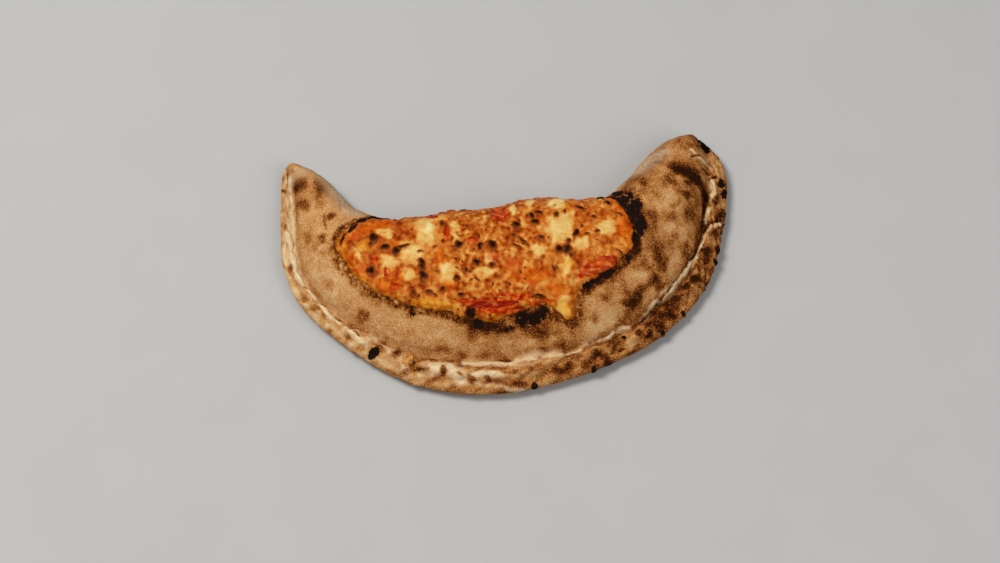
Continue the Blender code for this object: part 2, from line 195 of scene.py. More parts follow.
# Ridges of pale dough: half width, strength, and the points that each follows
PALE_RIDGES = (
    # left rim, from the horn to the burst blister
    (2.8, 0.9, ((-146, 61), (-145, 47), (-143, 30), (-143, 14), (-141, 3), (-139, -6))),
    (2.3, 1.0, ((-139, -6), (-137, -12), (-133, -18))),
    (1.6, 1.0, ((-133, -19), (-128, -24), (-123, -30), (-117, -40), (-108, -47))),
    (2.0, 0.6, ((-147, 20), (-147, 8), (-145, -2))),
    (2.4, 0.8, ((-104, -50), (-98, -56), (-91, -63))),
    (1.8, 0.5, ((-88, -54), (-84, -60), (-78, -64))),
    (3.0, 0.35, ((-80, -71), (-73, -76), (-68, -81))),
    (4.2, 0.6, ((-75, -67), (-69, -69), (-65, -75), (-65, -81))),
    # front
    (4.6, 0.85, ((-50, -79), (-43, -79), (-37, -79), (-32, -82), (-28, -86))),
    (2.0, 0.6, ((-56, -83), (-48, -84))),
    (2.7, 0.9, ((-26, -75), (-16, -76), (-7, -75), (4, -76), (10, -73), (18, -71), (26, -70), (37, -69))),
    (2.0, 0.4, ((8, -78), (16, -76), (26, -74), (34, -73))),
    (2.4, 0.8, ((-20, -84), (-12, -84), (-3, -84))),
    (2.0, 0.5, ((-37, -89), (-18, -89), (-4, -91), (14, -93))),
    # right
    (1.5, 0.6, ((37, -70), (43, -68), (50, -65), (56, -61), (63, -58))),
    (1.3, 0.8, ((62, -60), (70, -56), (76, -52), (83, -50))),
    (1.3, 0.8, ((90, -46), (95, -41), (100, -34), (105, -30))),
    (2.0, 1.0, ((105, -29), (111, -23), (115, -17), (120, -11), (124, -5), (128, 2))),
    (1.5, 0.9, ((128, 2), (131, 9), (134, 16), (136, 20), (140, 24), (145, 28))),
    (1.5, 0.7, ((127, 76), (132, 72), (138, 71))),
    (1.5, 0.5, ((135, 78), (138, 74), (141, 68))),
    (2.2, 0.7, ((140, 58), (142, 52), (141, 48), (140, 42))),
    (1.8, 0.8, ((138, 37), (136, 30), (136, 27))),
)
DARK_BANDS = (
    (3.4, 0.36, ((-24, -51), (-15, -56), (-4, -58), (6, -56), (14, -54), (26, -50))),
    (3.4, 0.9, ((113, 61), (118, 58), (125, 56), (131, 55), (135, 50), (137, 43))),
    (1.8, 0.7, ((136, 44), (135, 34), (133, 22), (129, 14))),
)
FLOUR_STREAKS = (
    (5.5, 0.9, ((-115, 50), (-111, 42), (-106, 34), (-99, 29))),
    (4.0, 0.5, ((-130, 67), (-120, 53))),
    (3.5, 0.5, ((-143, 59), (-139, 61), (-134, 62))),
    (5.5, 0.8, ((106, 73), (98, 67), (92, 61))),
    (5.0, 0.5, ((92, 61), (84, 59), (77, 52))),
)
# Cracks: half width, strength, and the points that each follows. They are sunk into the relief and painted dark,
# painted shade in their narrow gaps.
CRACKS = (
    (0.6, 1.0, ((90, -46), (96, -40), (102, -33), (106, -28), (110, -22), (114, -17), (118, -11), (122, -5),
                (127, 3), (130, 10), (133, 16))),
    (0.8, 0.8, ((134, 21), (137, 24), (141, 28), (145, 30))),
    (0.7, 0.6, ((56, -61), (63, -58), (71, -54), (77, -52))),
    (0.8, 0.9, ((-132, -20), (-129, -22), (-125, -26), (-122, -30), (-119, -34))),
    (0.8, 0.9, ((-112, -43), (-108, -45))),
    (0.8, 1.0, ((-99, -53), (-96, -56))),
    (0.7, 0.7, ((-120, 26), (-120, 20), (-118, 14))),
    (0.6, 0.5, ((-110, 39), (-109, 29))),
    (0.9, 1.0, ((127, 71), (132, 74))),
    (0.9, 1.0, ((134, 66), (139, 65))),
    (0.9, 1.0, ((1, -83), (8, -82))),
)

# Blisters on the cheese, from burnt to pale brown
BURNT_BLISTERS = (
    # left third
    (-86, 2, 4, 3, -80), (-79, -5, 4, 2, 15), (-71, -8, 3, 3, -75), (-87, -19, 3, 3, -5), (-53, -25, 4, 3, -65),
    (-54, -16, 3, 2, -30), (-31, -27, 2, 2, 0),
    # middle
    (-30, -5, 3, 3, 0), (-16, -6, 3, 2, 75), (-18, -17, 3, 2, -10), (8, 10, 3, 3, 10), (12, -2, 5, 1, -48),
    (18, 17, 3, 2, -70), (23, 19, 3, 2, -30), (20, 12, 3, 2, 0), (-28, -37, 3, 1, 0), (22, -37, 5, 1, -5),
    (-8, -5, 4, 3, -70), (8, -6, 4, 1, -25),
    # right third
    (50, 23, 4, 2, -35), (41, -8, 4, 3, 60), (36, -8, 3, 3, 0), (69, 28, 2, 2, 0), (47, 3, 4, 2, 70),
)
BROWN_BLISTERS = (
    # left third
    (-66, -5, 6, 2, 15), (-54, -19, 4, 3, -80), (-88, -2, 2, 2, 0), (-55, -9, 2, 1, 0), (-49, -35, 3, 2, -5),
    (-45, -37, 2, 1, -20), (-59, -35, 3, 2, -15), (-46, -6, 2, 1, 20), (-62, -40, 1, 1, 0), (-41, 12, 3, 2, -80),
    (-40, -2, 2, 1, -85), (-42, 25, 2, 1, 0), (-56, -37, 1, 1, 0),
    # middle
    (-35, 26, 3, 1, 5), (-27, 26, 3, 1, 0), (-25, 10, 2, 1, -5), (-32, -15, 2, 1, -15), (-25, -22, 3, 2, -85),
    (-17, 2, 2, 1, -90), (-8, -19, 3, 2, 20), (-24, -13, 1, 1, 0), (-20, -8, 1, 1, 0), (6, 2, 2, 2, -50),
    (-40, -34, 3, 2, -10), (-8, -31, 1, 1, 0), (3, -31, 1, 1, 0), (24, 0, 3, 2, -30),
    # right third
    (34, 18, 3, 2, -90), (40, 20, 2, 1, -85), (59, 16, 2, 2, 0), (61, 5, 2, 2, 40), (54, 3, 3, 1, 30),
    (51, 9, 1, 1, 85), (42, -2, 2, 2, 0), (44, -12, 2, 2, 0), (32, -21, 4, 1, -80), (75, -8, 4, 1, -40),
    (76, 19, 4, 1, -30), (22, 37, 2, 1, 0),
)
PALE_BLISTERS = (
    (-64, -5, 2, 1, -20), (-54, -19, 3, 2, -70), (-44, -23, 2, 2, 0), (-47, -27, 1, 1, -25), (-57, -39, 2, 1, -10),
    (-32, -9, 2, 2, 0), (-39, -13, 2, 1, -10), (-31, -21, 2, 1, -20), (-14, -19, 2, 2, 25), (-8, -9, 3, 2, 75),
    (-12, 11, 1, 1, 0), (33, 25, 2, 1, 35), (48, 6, 2, 2, 70), (54, 3, 2, 2, 40), (61, -1, 2, 1, 0),
    (29, 0, 2, 1, 0), (25, -14, 2, 2, 45), (34, -20, 3, 2, 85), (46, -24, 1, 1, -5), (17, -10, 2, 1, 10),
    (-61, -18, 2, 1, 0), (-99, -2, 2, 2, -5), (43, 27, 1, 1, 30), (63, 20, 1, 1, -10),
)
# Pools of pale cheese, of yellow fat, of deep orange fat and of red sauce
CHEESE_POOLS = (
    (-52, 7, 11, 6, -90), (-61, -9, 9, 7, -20), (-78, 6, 5, 3, 0), (-75, -15, 6, 4, -15), (-95, -10, 3, 2, -25),
    (-37, -21, 6, 5, -15), (-37, -27, 5, 3, -10), (-62, -24, 4, 3, 0), (37, 9, 11, 8, 80), (36, 28, 6, 5, 0),
    (41, -19, 9, 3, 80), (52, -3, 5, 4, 0), (-32, 4, 8, 2, -85), (17, 29, 6, 3, -90), (-10, -14, 3, 2, -85),
    (-13, -24, 7, 3, 0), (23, -7, 5, 3, -10), (68, 8, 6, 5, 65), (6, 23, 5, 2, -90), (37, -45, 8, 5, 60),
)
YELLOW_POOLS = (
    (-105, -4, 7, 2, -90), (-38, -44, 7, 3, -10), (-52, -41, 14, 2, -5), (-3, -49, 8, 2, -5), (43, -16, 4, 3, 85),
    (38, -46, 8, 6, 65), (-91, -3, 5, 3, 0),
)
ORANGE_POOLS = (
    (-80, 14, 8, 4, 25), (-91, 9, 8, 4, 25), (-101, 4, 4, 3, 0), (-101, -12, 6, 3, 60), (-94, -20, 7, 3, -40),
    (-79, -29, 7, 3, -25), (-70, -25, 6, 4, -60), (-72, -3, 3, 3, 0), (-42, -13, 6, 4, 80), (-35, -32, 5, 3, -10),
    (17, -25, 14, 6, 5), (33, -32, 7, 3, -10), (77, 24, 6, 4, 80), (79, 9, 9, 4, 90), (46, 29, 6, 3, 85),
    (44, 24, 4, 3, 0),
)
RED_POOLS = (
    (-2, 21, 7, 5, 85), (-21, -1, 3, 3, 85), (-49, 20, 6, 2, -25), (-4, -45, 20, 3, -3), (-14, -41, 18, 2, 0),
    (12, -38, 9, 2, 6), (-3, -37, 11, 1, 0), (24, -41, 9, 2, 10), (61, -18, 12, 4, 30), (60, -20, 6, 1, 30),
    (66, -15, 4, 2, 25), (50, -24, 2, 2, 70), (-85, -12, 2, 2, -75), (-77, -21, 4, 1, -85), (-71, -30, 3, 2, 0),
    (-38, 4, 6, 2, -90),
)
PINK_POOLS = ((5, -18, 5, 4, 5), (-92, -17, 3, 3, 0), (-97, 5, 3, 3, 85), (18, -29, 3, 2, 0), (-8, -13, 4, 3, 0))
LEAK_SPOTS = ((-71, -69, 3, 2, 0), (-64, -71, 3, 2, 0), (-61, -77, 4, 2, 80), (-65, -80, 3, 2, 20))
SLIT = ((-4, -44, 17, 2, -5), (-15, -40, 15, 1, 0))


def clamp(value, low=0.0, high=1.0):
    return np.minimum(np.maximum(value, low), high)


def smooth(low, high, value):
    """0 below low and 1 above high, with a soft step between."""
    share = clamp((value - low) / (high - low))
    return share * share * (3.0 - 2.0 * share)


def quarter_round(share):
    return np.sqrt(1.0 - (1.0 - clamp(share)) ** 2)


def eased(share):
    return 0.5 - 0.5 * np.cos(np.pi * share)


# Noise


def hashed(x, y, z, seed):
    """A scrambled 32-bit number for each lattice point."""
    mixed = x.astype(np.uint32) * np.uint32(0x8DA6B343) ^ y.astype(np.uint32) * np.uint32(0xD8163841)
    mixed ^= z.astype(np.uint32) * np.uint32(0xCB1AB31F) ^ np.uint32((seed * 0x9E3779B9 + 12345) & 0xFFFFFFFF)
    mixed ^= mixed >> np.uint32(13)
    mixed *= np.uint32(0x85EBCA6B)
    mixed ^= mixed >> np.uint32(16)
    mixed *= np.uint32(0xC2B2AE35)
    return mixed ^ (mixed >> np.uint32(15))


def noise(points, length, seed=0):
    """Gradient noise of about -1 to 1 at points in mm, with features of the given length."""
    scaled = points / length + 1000.0
    cell = np.floor(scaled)
    inside = scaled - cell
    cell = cell.astype(np.int64)
    blend = inside**3 * (inside * (inside * 6.0 - 15.0) + 10.0)
    total = np.zeros(len(points))
    for corner in range(8):
        step = np.array((corner & 1, corner >> 1 & 1, corner >> 2 & 1))
        away = inside - step
        found = hashed(*(cell + step).T, seed)
        slope = [(found >> np.uint32(shift) & np.uint32(1023)) / 511.5 - 1.0 for shift in (0, 10, 20)]
        weight = np.where(step, blend, 1.0 - blend).prod(axis=1)
        total += weight * (slope[0] * away[:, 0] + slope[1] * away[:, 1] + slope[2] * away[:, 2])
    return total * 1.5


def layered(points, length, seed=0, octaves=3):
    """Noise summed over octaves of half the length and half the height."""
    return sum(noise(points, length / 2**i, seed + 17 * i) / 2**i for i in range(octaves))


def wavered(points, amount=0.9, length=4.0):
    """The plan of the points, pushed about by noise so that what is marked on it comes out ragged."""
    return points[:, :2] + amount * np.column_stack((layered(points, length, 3, 2), layered(points, length, 4, 2)))


def cells(points, length, seed=0):
    """The distance to the nearest scattered point, in lengths, and a number from 0 to 1 of that point."""
    scaled = points / length + 1000.0
    cell = np.floor(scaled).astype(np.int64)
    nearest, owner = np.full(len(points), 9.0), np.zeros(len(points))
    for corner in range(27):
        step = np.array((corner % 3, corner // 3 % 3, corner // 9)) - 1
        found = hashed(*(cell + step).T, seed)
        spot = np.stack([(found >> np.uint32(shift) & np.uint32(1023)) / 1023.0 for shift in (0, 10, 20)], 1)
        away = np.linalg.norm(cell + step + spot - scaled, axis=1)
        closer = away < nearest
        nearest = np.where(closer, away, nearest)
        owner = np.where(closer, (found >> np.uint32(7) & np.uint32(4095)) / 4095.0, owner)
    return nearest, owner


# Surface of the dough

PADDED_RIBS = np.vstack((
    RIBS_MM[1][[2, 3, 0, 1, 4, 5, 6, 7]], RIBS_MM, RIBS_MM[-2][[2, 3, 0, 1, 4, 5, 6, 7]]
))


def ribs_at(place):
    index = np.minimum(place.astype(int), LAST_RIB - 1)
    share = (place - index)[:, None]
    a, b, c, d = (PADDED_RIBS[index + i] for i in range(4))
    curve = 2 * b + (c - a) * share + (2 * a - 5 * b + 4 * c - d) * share**2 + (3 * b - a - 3 * c + d) * share**3
    return 0.5 * curve


def width_of(rib):
    return np.maximum(np.hypot(rib[:, 2] - rib[:, 0], rib[:, 3] - rib[:, 1]), 0.001)


def seam_share(rib):
    return 1.0 - clamp(rib[:, 6] / width_of(rib), 0.05, 0.42)


def plan_of(rib, across):
    return rib[:, :2] + (rib[:, 2:4] - rib[:, :2]) * across[:, None]


def raised(rib, across, height):
    """Points of the dough at these heights. Near a tip the section closes towards its widest point."""
    away = [np.hypot(*(rib[:, :2] - tip[:2]).T) for tip in (RIBS_MM[0], RIBS_MM[-1])]
    opened = quarter_round(np.minimum(*away) / TIP_ROUND_MM)
    belly = 0.5 * (FOLD_BELLY_SHARE * rib[:, 5] + RIM_BELLY_SHARE * rib[:, 7])
    return np.column_stack((plan_of(rib, across), belly + (height - belly) * opened))


def back_points(place, girth):
    """The back of the dough: a rounded fold, a domed back and the dip at the seam."""
    rib = ribs_at(place)
    seam, (crown, fold, rim) = seam_share(rib), rib[:, [4, 5, 7]].T
    across = seam * eased(girth)
    belly, seam_height, crown_at = FOLD_BELLY_SHARE * fold, SEAM_HEIGHT_SHARE * rim, CROWN_SHARE * seam
    rise = fold + (crown - fold) * np.sin(np.pi / 2 * clamp(across / crown_at))
    fall = clamp((across - crown_at) / (seam - crown_at))
    drop = seam_height + (crown - seam_height) * np.maximum(1.0 - fall * fall, 0.0) ** 0.9
    roof = np.where(across < crown_at, rise, drop)
    reach = clamp(FOLD_ROUND_SHARE * fold / width_of(rib), 0.01, 0.45)
    height = belly + (roof - belly) * quarter_round(across / reach)
    away = (across - seam) * width_of(rib) / SEAM_REACH_MM
    return raised(rib, across, height - SEAM_DEPTH_MM * np.exp(-away * away))


def rim_points(place, girth):
    """The rolled rim, from the seam over its crest to its widest point."""
    rib = ribs_at(place)
    seam, rim = seam_share(rib), rib[:, 7]
    share = eased(girth)
    belly, seam_height = RIM_BELLY_SHARE * rim, SEAM_HEIGHT_SHARE * rim
    roof = seam_height + (rim - seam_height) * np.sin(np.pi * clamp(share / RIM_CREST_SHARE))
    fall = clamp((share - RIM_ROUND_START) / (1.0 - RIM_ROUND_START))
    height = belly + (roof - belly) * np.sqrt(1.0 - fall * fall)
    away = share * (1.0 - seam) * width_of(rib) / SEAM_REACH_MM
    return raised(rib, seam + (1.0 - seam) * share, height - SEAM_DEPTH_MM * np.exp(-away * away))


def under_points(place, girth):
    """The underside, from the rim's widest point to the fold's: flat, and curling up at both."""
    rib = ribs_at(place)
    across = 1.0 - eased(girth)
    fold_belly, rim_belly = FOLD_BELLY_SHARE * rib[:, 5], RIM_BELLY_SHARE * rib[:, 7]
    inner = 1.0 - quarter_round(across * width_of(rib) / fold_belly / 1.3)
    outer = 1.0 - quarter_round((1.0 - across) * width_of(rib) / rim_belly / 1.6)
    return raised(rib, across, np.maximum(fold_belly * inner, rim_belly * outer))


def normals_of(surface, place, girth):
    step = 0.004
    along = surface(np.minimum(place + step, LAST_RIB), girth) - surface(np.maximum(place - step, 0.0), girth)
    over = surface(place, np.minimum(girth + step, 1.0)) - surface(place, np.maximum(girth - step, 0.0))
    across = np.cross(over, along)
    return across / np.maximum(np.linalg.norm(across, axis=1, keepdims=True), 1e-9)


# Marks on the surface


def off_path(plan, path):
    """The distance of each point from the line through the path's points."""
    nearest = np.full(len(plan), 1e3)
    for start, end in zip(np.array(path[:-1], float), np.array(path[1:], float)):
        run = end - start
        share = clamp(((plan - start) @ run) / (run @ run))
        nearest = np.minimum(nearest, np.hypot(*(plan - start - share[:, None] * run).T))
    return nearest


def bell(away):
    return np.exp(-away * away)


def flank_shade(away):
    """Both sides of a ridge: a band of painted shade, partly browning, along each flank."""
    return np.exp(-(((away - 1.6) / 0.5) ** 2))


def lines(points, rows, profile=bell):
    """0 to 1 at each point: the profile of its distance from the lines of the rows, in half widths."""
    plan = wavered(points, 0.7, 5.0)
    found = np.zeros(len(points))
    for half_width, strength, path in rows:
        corners = np.array(path, float)
        low, high = corners.min(axis=0) - 8.0, corners.max(axis=0) + 8.0
        near = np.flatnonzero(((plan > low) & (plan < high)).all(axis=1))
        found[near] = np.maximum(found[near], strength * profile(off_path(plan[near], path) / half_width))
    return found


# Outline of the cheese, on the back of the dough unrolled: along it, and across it from the fold

UNROLLED_PLACES = np.linspace(4.2, 11.8, 153)
UNROLLED_GIRTHS = np.linspace(0.0, 1.0, 101)


def unroll():
    """Distances along and across the back, at the grid of unrolled places and girths."""
    place, girth = np.meshgrid(UNROLLED_PLACES, UNROLLED_GIRTHS, indexing="ij")
    points = back_points(place.ravel(), girth.ravel()).reshape(*place.shape, 3)
    across = np.zeros(place.shape)
    across[:, 1:] = np.cumsum(np.linalg.norm(np.diff(points, axis=1), axis=2), axis=1)
    middle = points[:, 45]
    along = np.zeros(place.shape)
    along[1:] = np.cumsum(np.linalg.norm(np.diff(middle, axis=0), axis=1))[:, None]
    return along, across


ALONG_MM, ACROSS_MM = unroll()


def unrolled(place, girth):
    """Distances along and across the back at these places and girths."""
    row = clamp((place - UNROLLED_PLACES[0]) / (UNROLLED_PLACES[1] - UNROLLED_PLACES[0]), 0, 151.999)
    column = clamp(girth / (UNROLLED_GIRTHS[1] - UNROLLED_GIRTHS[0]), 0, 99.999)
    i, j = row.astype(int), column.astype(int)
    down, right = row - i, column - j
    return [
        (grid[i, j] * (1 - right) + grid[i, j + 1] * right) * (1 - down)
        + (grid[i + 1, j] * (1 - right) + grid[i + 1, j + 1] * right) * down
        for grid in (ALONG_MM, ACROSS_MM)
    ]


def tongue_at(place):
    """How much further over the dough the cheese runs where it flowed out: a slanting left side, a steep right."""
    return 0.112 * smooth(8.92, 9.30, place) * (1.0 - smooth(9.36, 9.50, place))


def cheese_outline():
    """The corners of the cheese's outline on the unrolled back."""
    place = np.linspace(CHEESE_EDGES[0, 0], CHEESE_EDGES[-1, 0], 260)
    start, end = (np.interp(place, CHEESE_EDGES[:, 0], CHEESE_EDGES[:, i]) for i in (1, 2))
    first, last = unrolled(place, start), unrolled(place, end + tongue_at(place))
    return np.vstack((np.column_stack(first), np.column_stack(last)[::-1]))


OUTLINE_MM = cheese_outline()


def cheese_depth(place, girth, points):
    """How far inside the ragged edge of the cheese each point lies, in mm; negative outside it."""
    spot = np.column_stack(unrolled(place, girth))
    wrapped = np.vstack((OUTLINE_MM, OUTLINE_MM[:1]))
    inside = np.zeros(len(spot), bool)
    nearest = np.full(len(spot), 1e3)
    for start, end in zip(wrapped[:-1], wrapped[1:]):
        run = end - start
        length = run @ run
        if length < 1e-9:
            continue
        share = clamp(((spot - start) @ run) / length)
        nearest = np.minimum(nearest, np.hypot(*(spot - start - share[:, None] * run).T))
        crosses = (start[1] > spot[:, 1]) != (end[1] > spot[:, 1])
        if start[1] != end[1]:
            inside ^= crosses & (spot[:, 0] < start[0] + (spot[:, 1] - start[1]) * run[0] / run[1])
    ragged = 1.3 * noise(points, 8.0, 11) + 0.8 * noise(points, 3.0, 12) + 0.4 * noise(points, 1.5, 13)
    return np.where(inside, nearest, -nearest) + ragged


# Relief of the dough

EDGE_PLACES = np.linspace(0.0, LAST_RIB, 801)
EDGE_MM = np.concatenate((
    [0.0], np.cumsum(np.linalg.norm(np.diff(plan_of(ribs_at(EDGE_PLACES), np.ones(801)), axis=0), axis=1))
))


def ovals(plan, rows, profile):
    """The largest value of profile(distance) over the rows, where distance is 1 on a row's oval."""
    found = np.zeros(len(plan))
    for x, y, length, width, turn in rows:
        near = np.flatnonzero((np.abs(plan[:, 0] - x) < 2.2 * length) & (np.abs(plan[:, 1] - y) < 2.2 * length))
        away = plan[near] - (x, y)
        cosine, sine = math.cos(math.radians(turn)), math.sin(math.radians(turn))
        distance = np.hypot(
            (away[:, 0] * cosine + away[:, 1] * sine) / (length + 0.3),
            (away[:, 1] * cosine - away[:, 0] * sine) / (width + 0.3),
        )
        found[near] = np.maximum(found[near], profile(distance))
    return found


def soft(fringe):
    """A profile that is 1 inside an oval and 0 outside it, with a fringe this wide between."""
    return lambda distance: 1.0 - smooth(1.0 - fringe, 1.0 + fringe, distance)


def dome(distance):
    return np.sqrt(np.maximum(1.0 - distance * distance, 0.0))


def ring(distance):
    return np.exp(-(((distance - 1.15) / 0.22) ** 2))


def bubbles(points, length, share, seed):
    """Small domes scattered over a share of the cells."""
    distance, owner = cells(points, length, seed)
    radius = 0.22 + 0.25 * (owner * 7.0 % 1.0)
    return dome(distance / radius) * (owner < share) * radius


def rim_blisters(points, right):
    """Raised blisters all over the rim, 0 to 1, more of them towards the right horn."""
    return clamp(2.2 * bubbles(points, 8.5, 0.30 + 0.40 * right, 36) + 1.6 * bubbles(points, 4.5, 0.25 * right, 37))


def rim_folds(place, girth):
    """Folds that run along the rim, -1 to 1, and the valleys of the crimps across it, 0 to 1."""
    rib = ribs_at(place)
    along = np.interp(place, EDGE_PLACES, EDGE_MM)
    over = (1.0 - seam_share(rib)) * width_of(rib) * eased(girth)
    folds = layered(np.column_stack((along, 3.2 * over, np.zeros(len(along)))), 22.0, 31, 2)
    crimps = np.abs(noise(np.column_stack((along + 1.5 * over, 0.25 * over, 0.0 * over)), 15.0, 35))
    return folds, 1.0 - smooth(0.0, 0.30, crimps)


def back_relief(points, place, girth, depth):
    """Height of the relief on the back of the dough, in mm. depth is the cheese's depth there."""
    right = smooth(9.0, 12.0, place)
    plan = wavered(points)
    height = 1.1 * noise(points, 24.0, 0) * clamp((1.0 - girth) * 5)
    height += 0.45 * layered(points, 9.0, 21) + 0.20 * layered(points, 3.0, 22, 2)
    height += 0.4 * ovals(plan, DARK_SPOTS, soft(0.6)) - 0.3 * bubbles(points, 7.0, 0.22, 23)
    height += 0.6 * lines(points, PALE_RIDGES) - 1.2 * lines(points, CRACKS)
    height += (0.25 + 0.3 * right) * noise(points, 6.0, 24) * smooth(0.8, 0.95, girth)
    height += 0.6 * ovals(plan, CHAR_SPOTS, soft(0.6)) * noise(points, 2.4, 25)
    return height - 0.9 * smooth(1.5, 3.5, depth)


def rim_relief(points, place, girth):
    """Height of the relief on the rolled rim: lumps, folds along it, crimps across it and blisters."""
    front, right = smooth(5.8, 6.8, place) * (1.0 - smooth(10.0, 11.0, place)), smooth(10.0, 12.5, place)
    rounding = np.sin(np.pi * clamp(0.15 + 0.85 * girth))
    folds, crimps = rim_folds(place, girth)
    height = 1.3 * noise(points, 15.0, 3) * rounding
    height += (0.8 + 1.0 * front - 0.4 * right) * folds * rounding - (1.3 + 0.5 * right) * crimps * rounding
    height += 0.65 * layered(points, 7.0, 33) + 0.22 * layered(points, 2.6, 34, 2)
    height += 1.3 * rim_blisters(points, right) + 0.4 * ovals(wavered(points), DARK_SPOTS + BROWN_SPOTS, soft(0.6))
    height += 0.6 * lines(points, PALE_RIDGES) - 1.2 * lines(points, CRACKS)
    height += sum(1.5 * ovals(points[:, :2], ((x, y, radius, radius, 0),), dome) for x, y, radius in BEADS)
    burst = ovals(points[:, :2], BURST_BLISTER, ring) * 0.8 - ovals(points[:, :2], BURST_BLISTER, dome) * 0.5
    return height + burst


def back_surface(place, girth):
    """Points of the back with its relief, its normals, and the cheese's depth there."""
    points, normals = back_points(place, girth), normals_of(back_points, place, girth)
    depth = cheese_depth(place, girth, points)
    return points + normals * back_relief(points, place, girth, depth)[:, None], normals, depth


def rim_surface(place, girth):
    points, normals = rim_points(place, girth), normals_of(rim_points, place, girth)
    return points + normals * rim_relief(points, place, girth)[:, None], normals


# Building of meshes


def mesh_object(name, points, faces, masks, surface, slot, *nodes):
    """A smooth mesh that rides on the root, hides the CAD nodes and carries the masks as attributes."""
    low, high = (np.array(corner) / MM for corner in CAD_BOX)
    inside = np.clip(points, low + 0.02, high - 0.02) * MM
    mesh = bpy.data.meshes.new(name)
    mesh.from_pydata(inside.tolist(), [], faces)
    mesh.shade_smooth()
    for mask, values in masks.items():
        attribute = mesh.attributes.new(mask, "FLOAT", "POINT")
        attribute.data.foreach_set("value", np.ascontiguousarray(values, np.float32))
    mesh.materials.append(surface)
    piece = bpy.data.objects.new(name, mesh)
    bpy.context.scene.collection.objects.link(piece)
    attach(piece, "root")
    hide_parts(*nodes)
    return piece


def tube_faces(rings, ring_points):
    """Quads between rings of points laid out one after another, facing out."""
    faces = []
    for station in range(rings - 1):
        first, second = station * ring_points, (station + 1) * ring_points
        for turn in range(ring_points):
            after = (turn + 1) % ring_points
            faces.append((first + turn, first + after, second + after, second + turn))
    return faces


def cap_faces(ring_start, ring_points, pole, flip):
    """Triangles from one ring of points to a pole."""
    faces = []
    for turn in range(ring_points):
        after = (turn + 1) % ring_points
        pair = (turn, after) if flip else (after, turn)
        faces.append((ring_start + pair[0], ring_start + pair[1], pole))
    return faces


def station_places():
    """Places of the stations, evenly along the crescent's middle line and closer at the tips."""
    samples = np.linspace(0.0, LAST_RIB, 3201)
    middles = plan_of(ribs_at(samples), np.full(3201, 0.5))
    lengths = np.concatenate(([0.0], np.cumsum(np.linalg.norm(np.diff(middles, axis=0), axis=1))))
    share = np.linspace(0.0, 1.0, STATIONS + 2)[1:-1]
    return np.interp((share + TIP_CROWDING * (eased(share) - share)) * lengths[-1], lengths, samples)


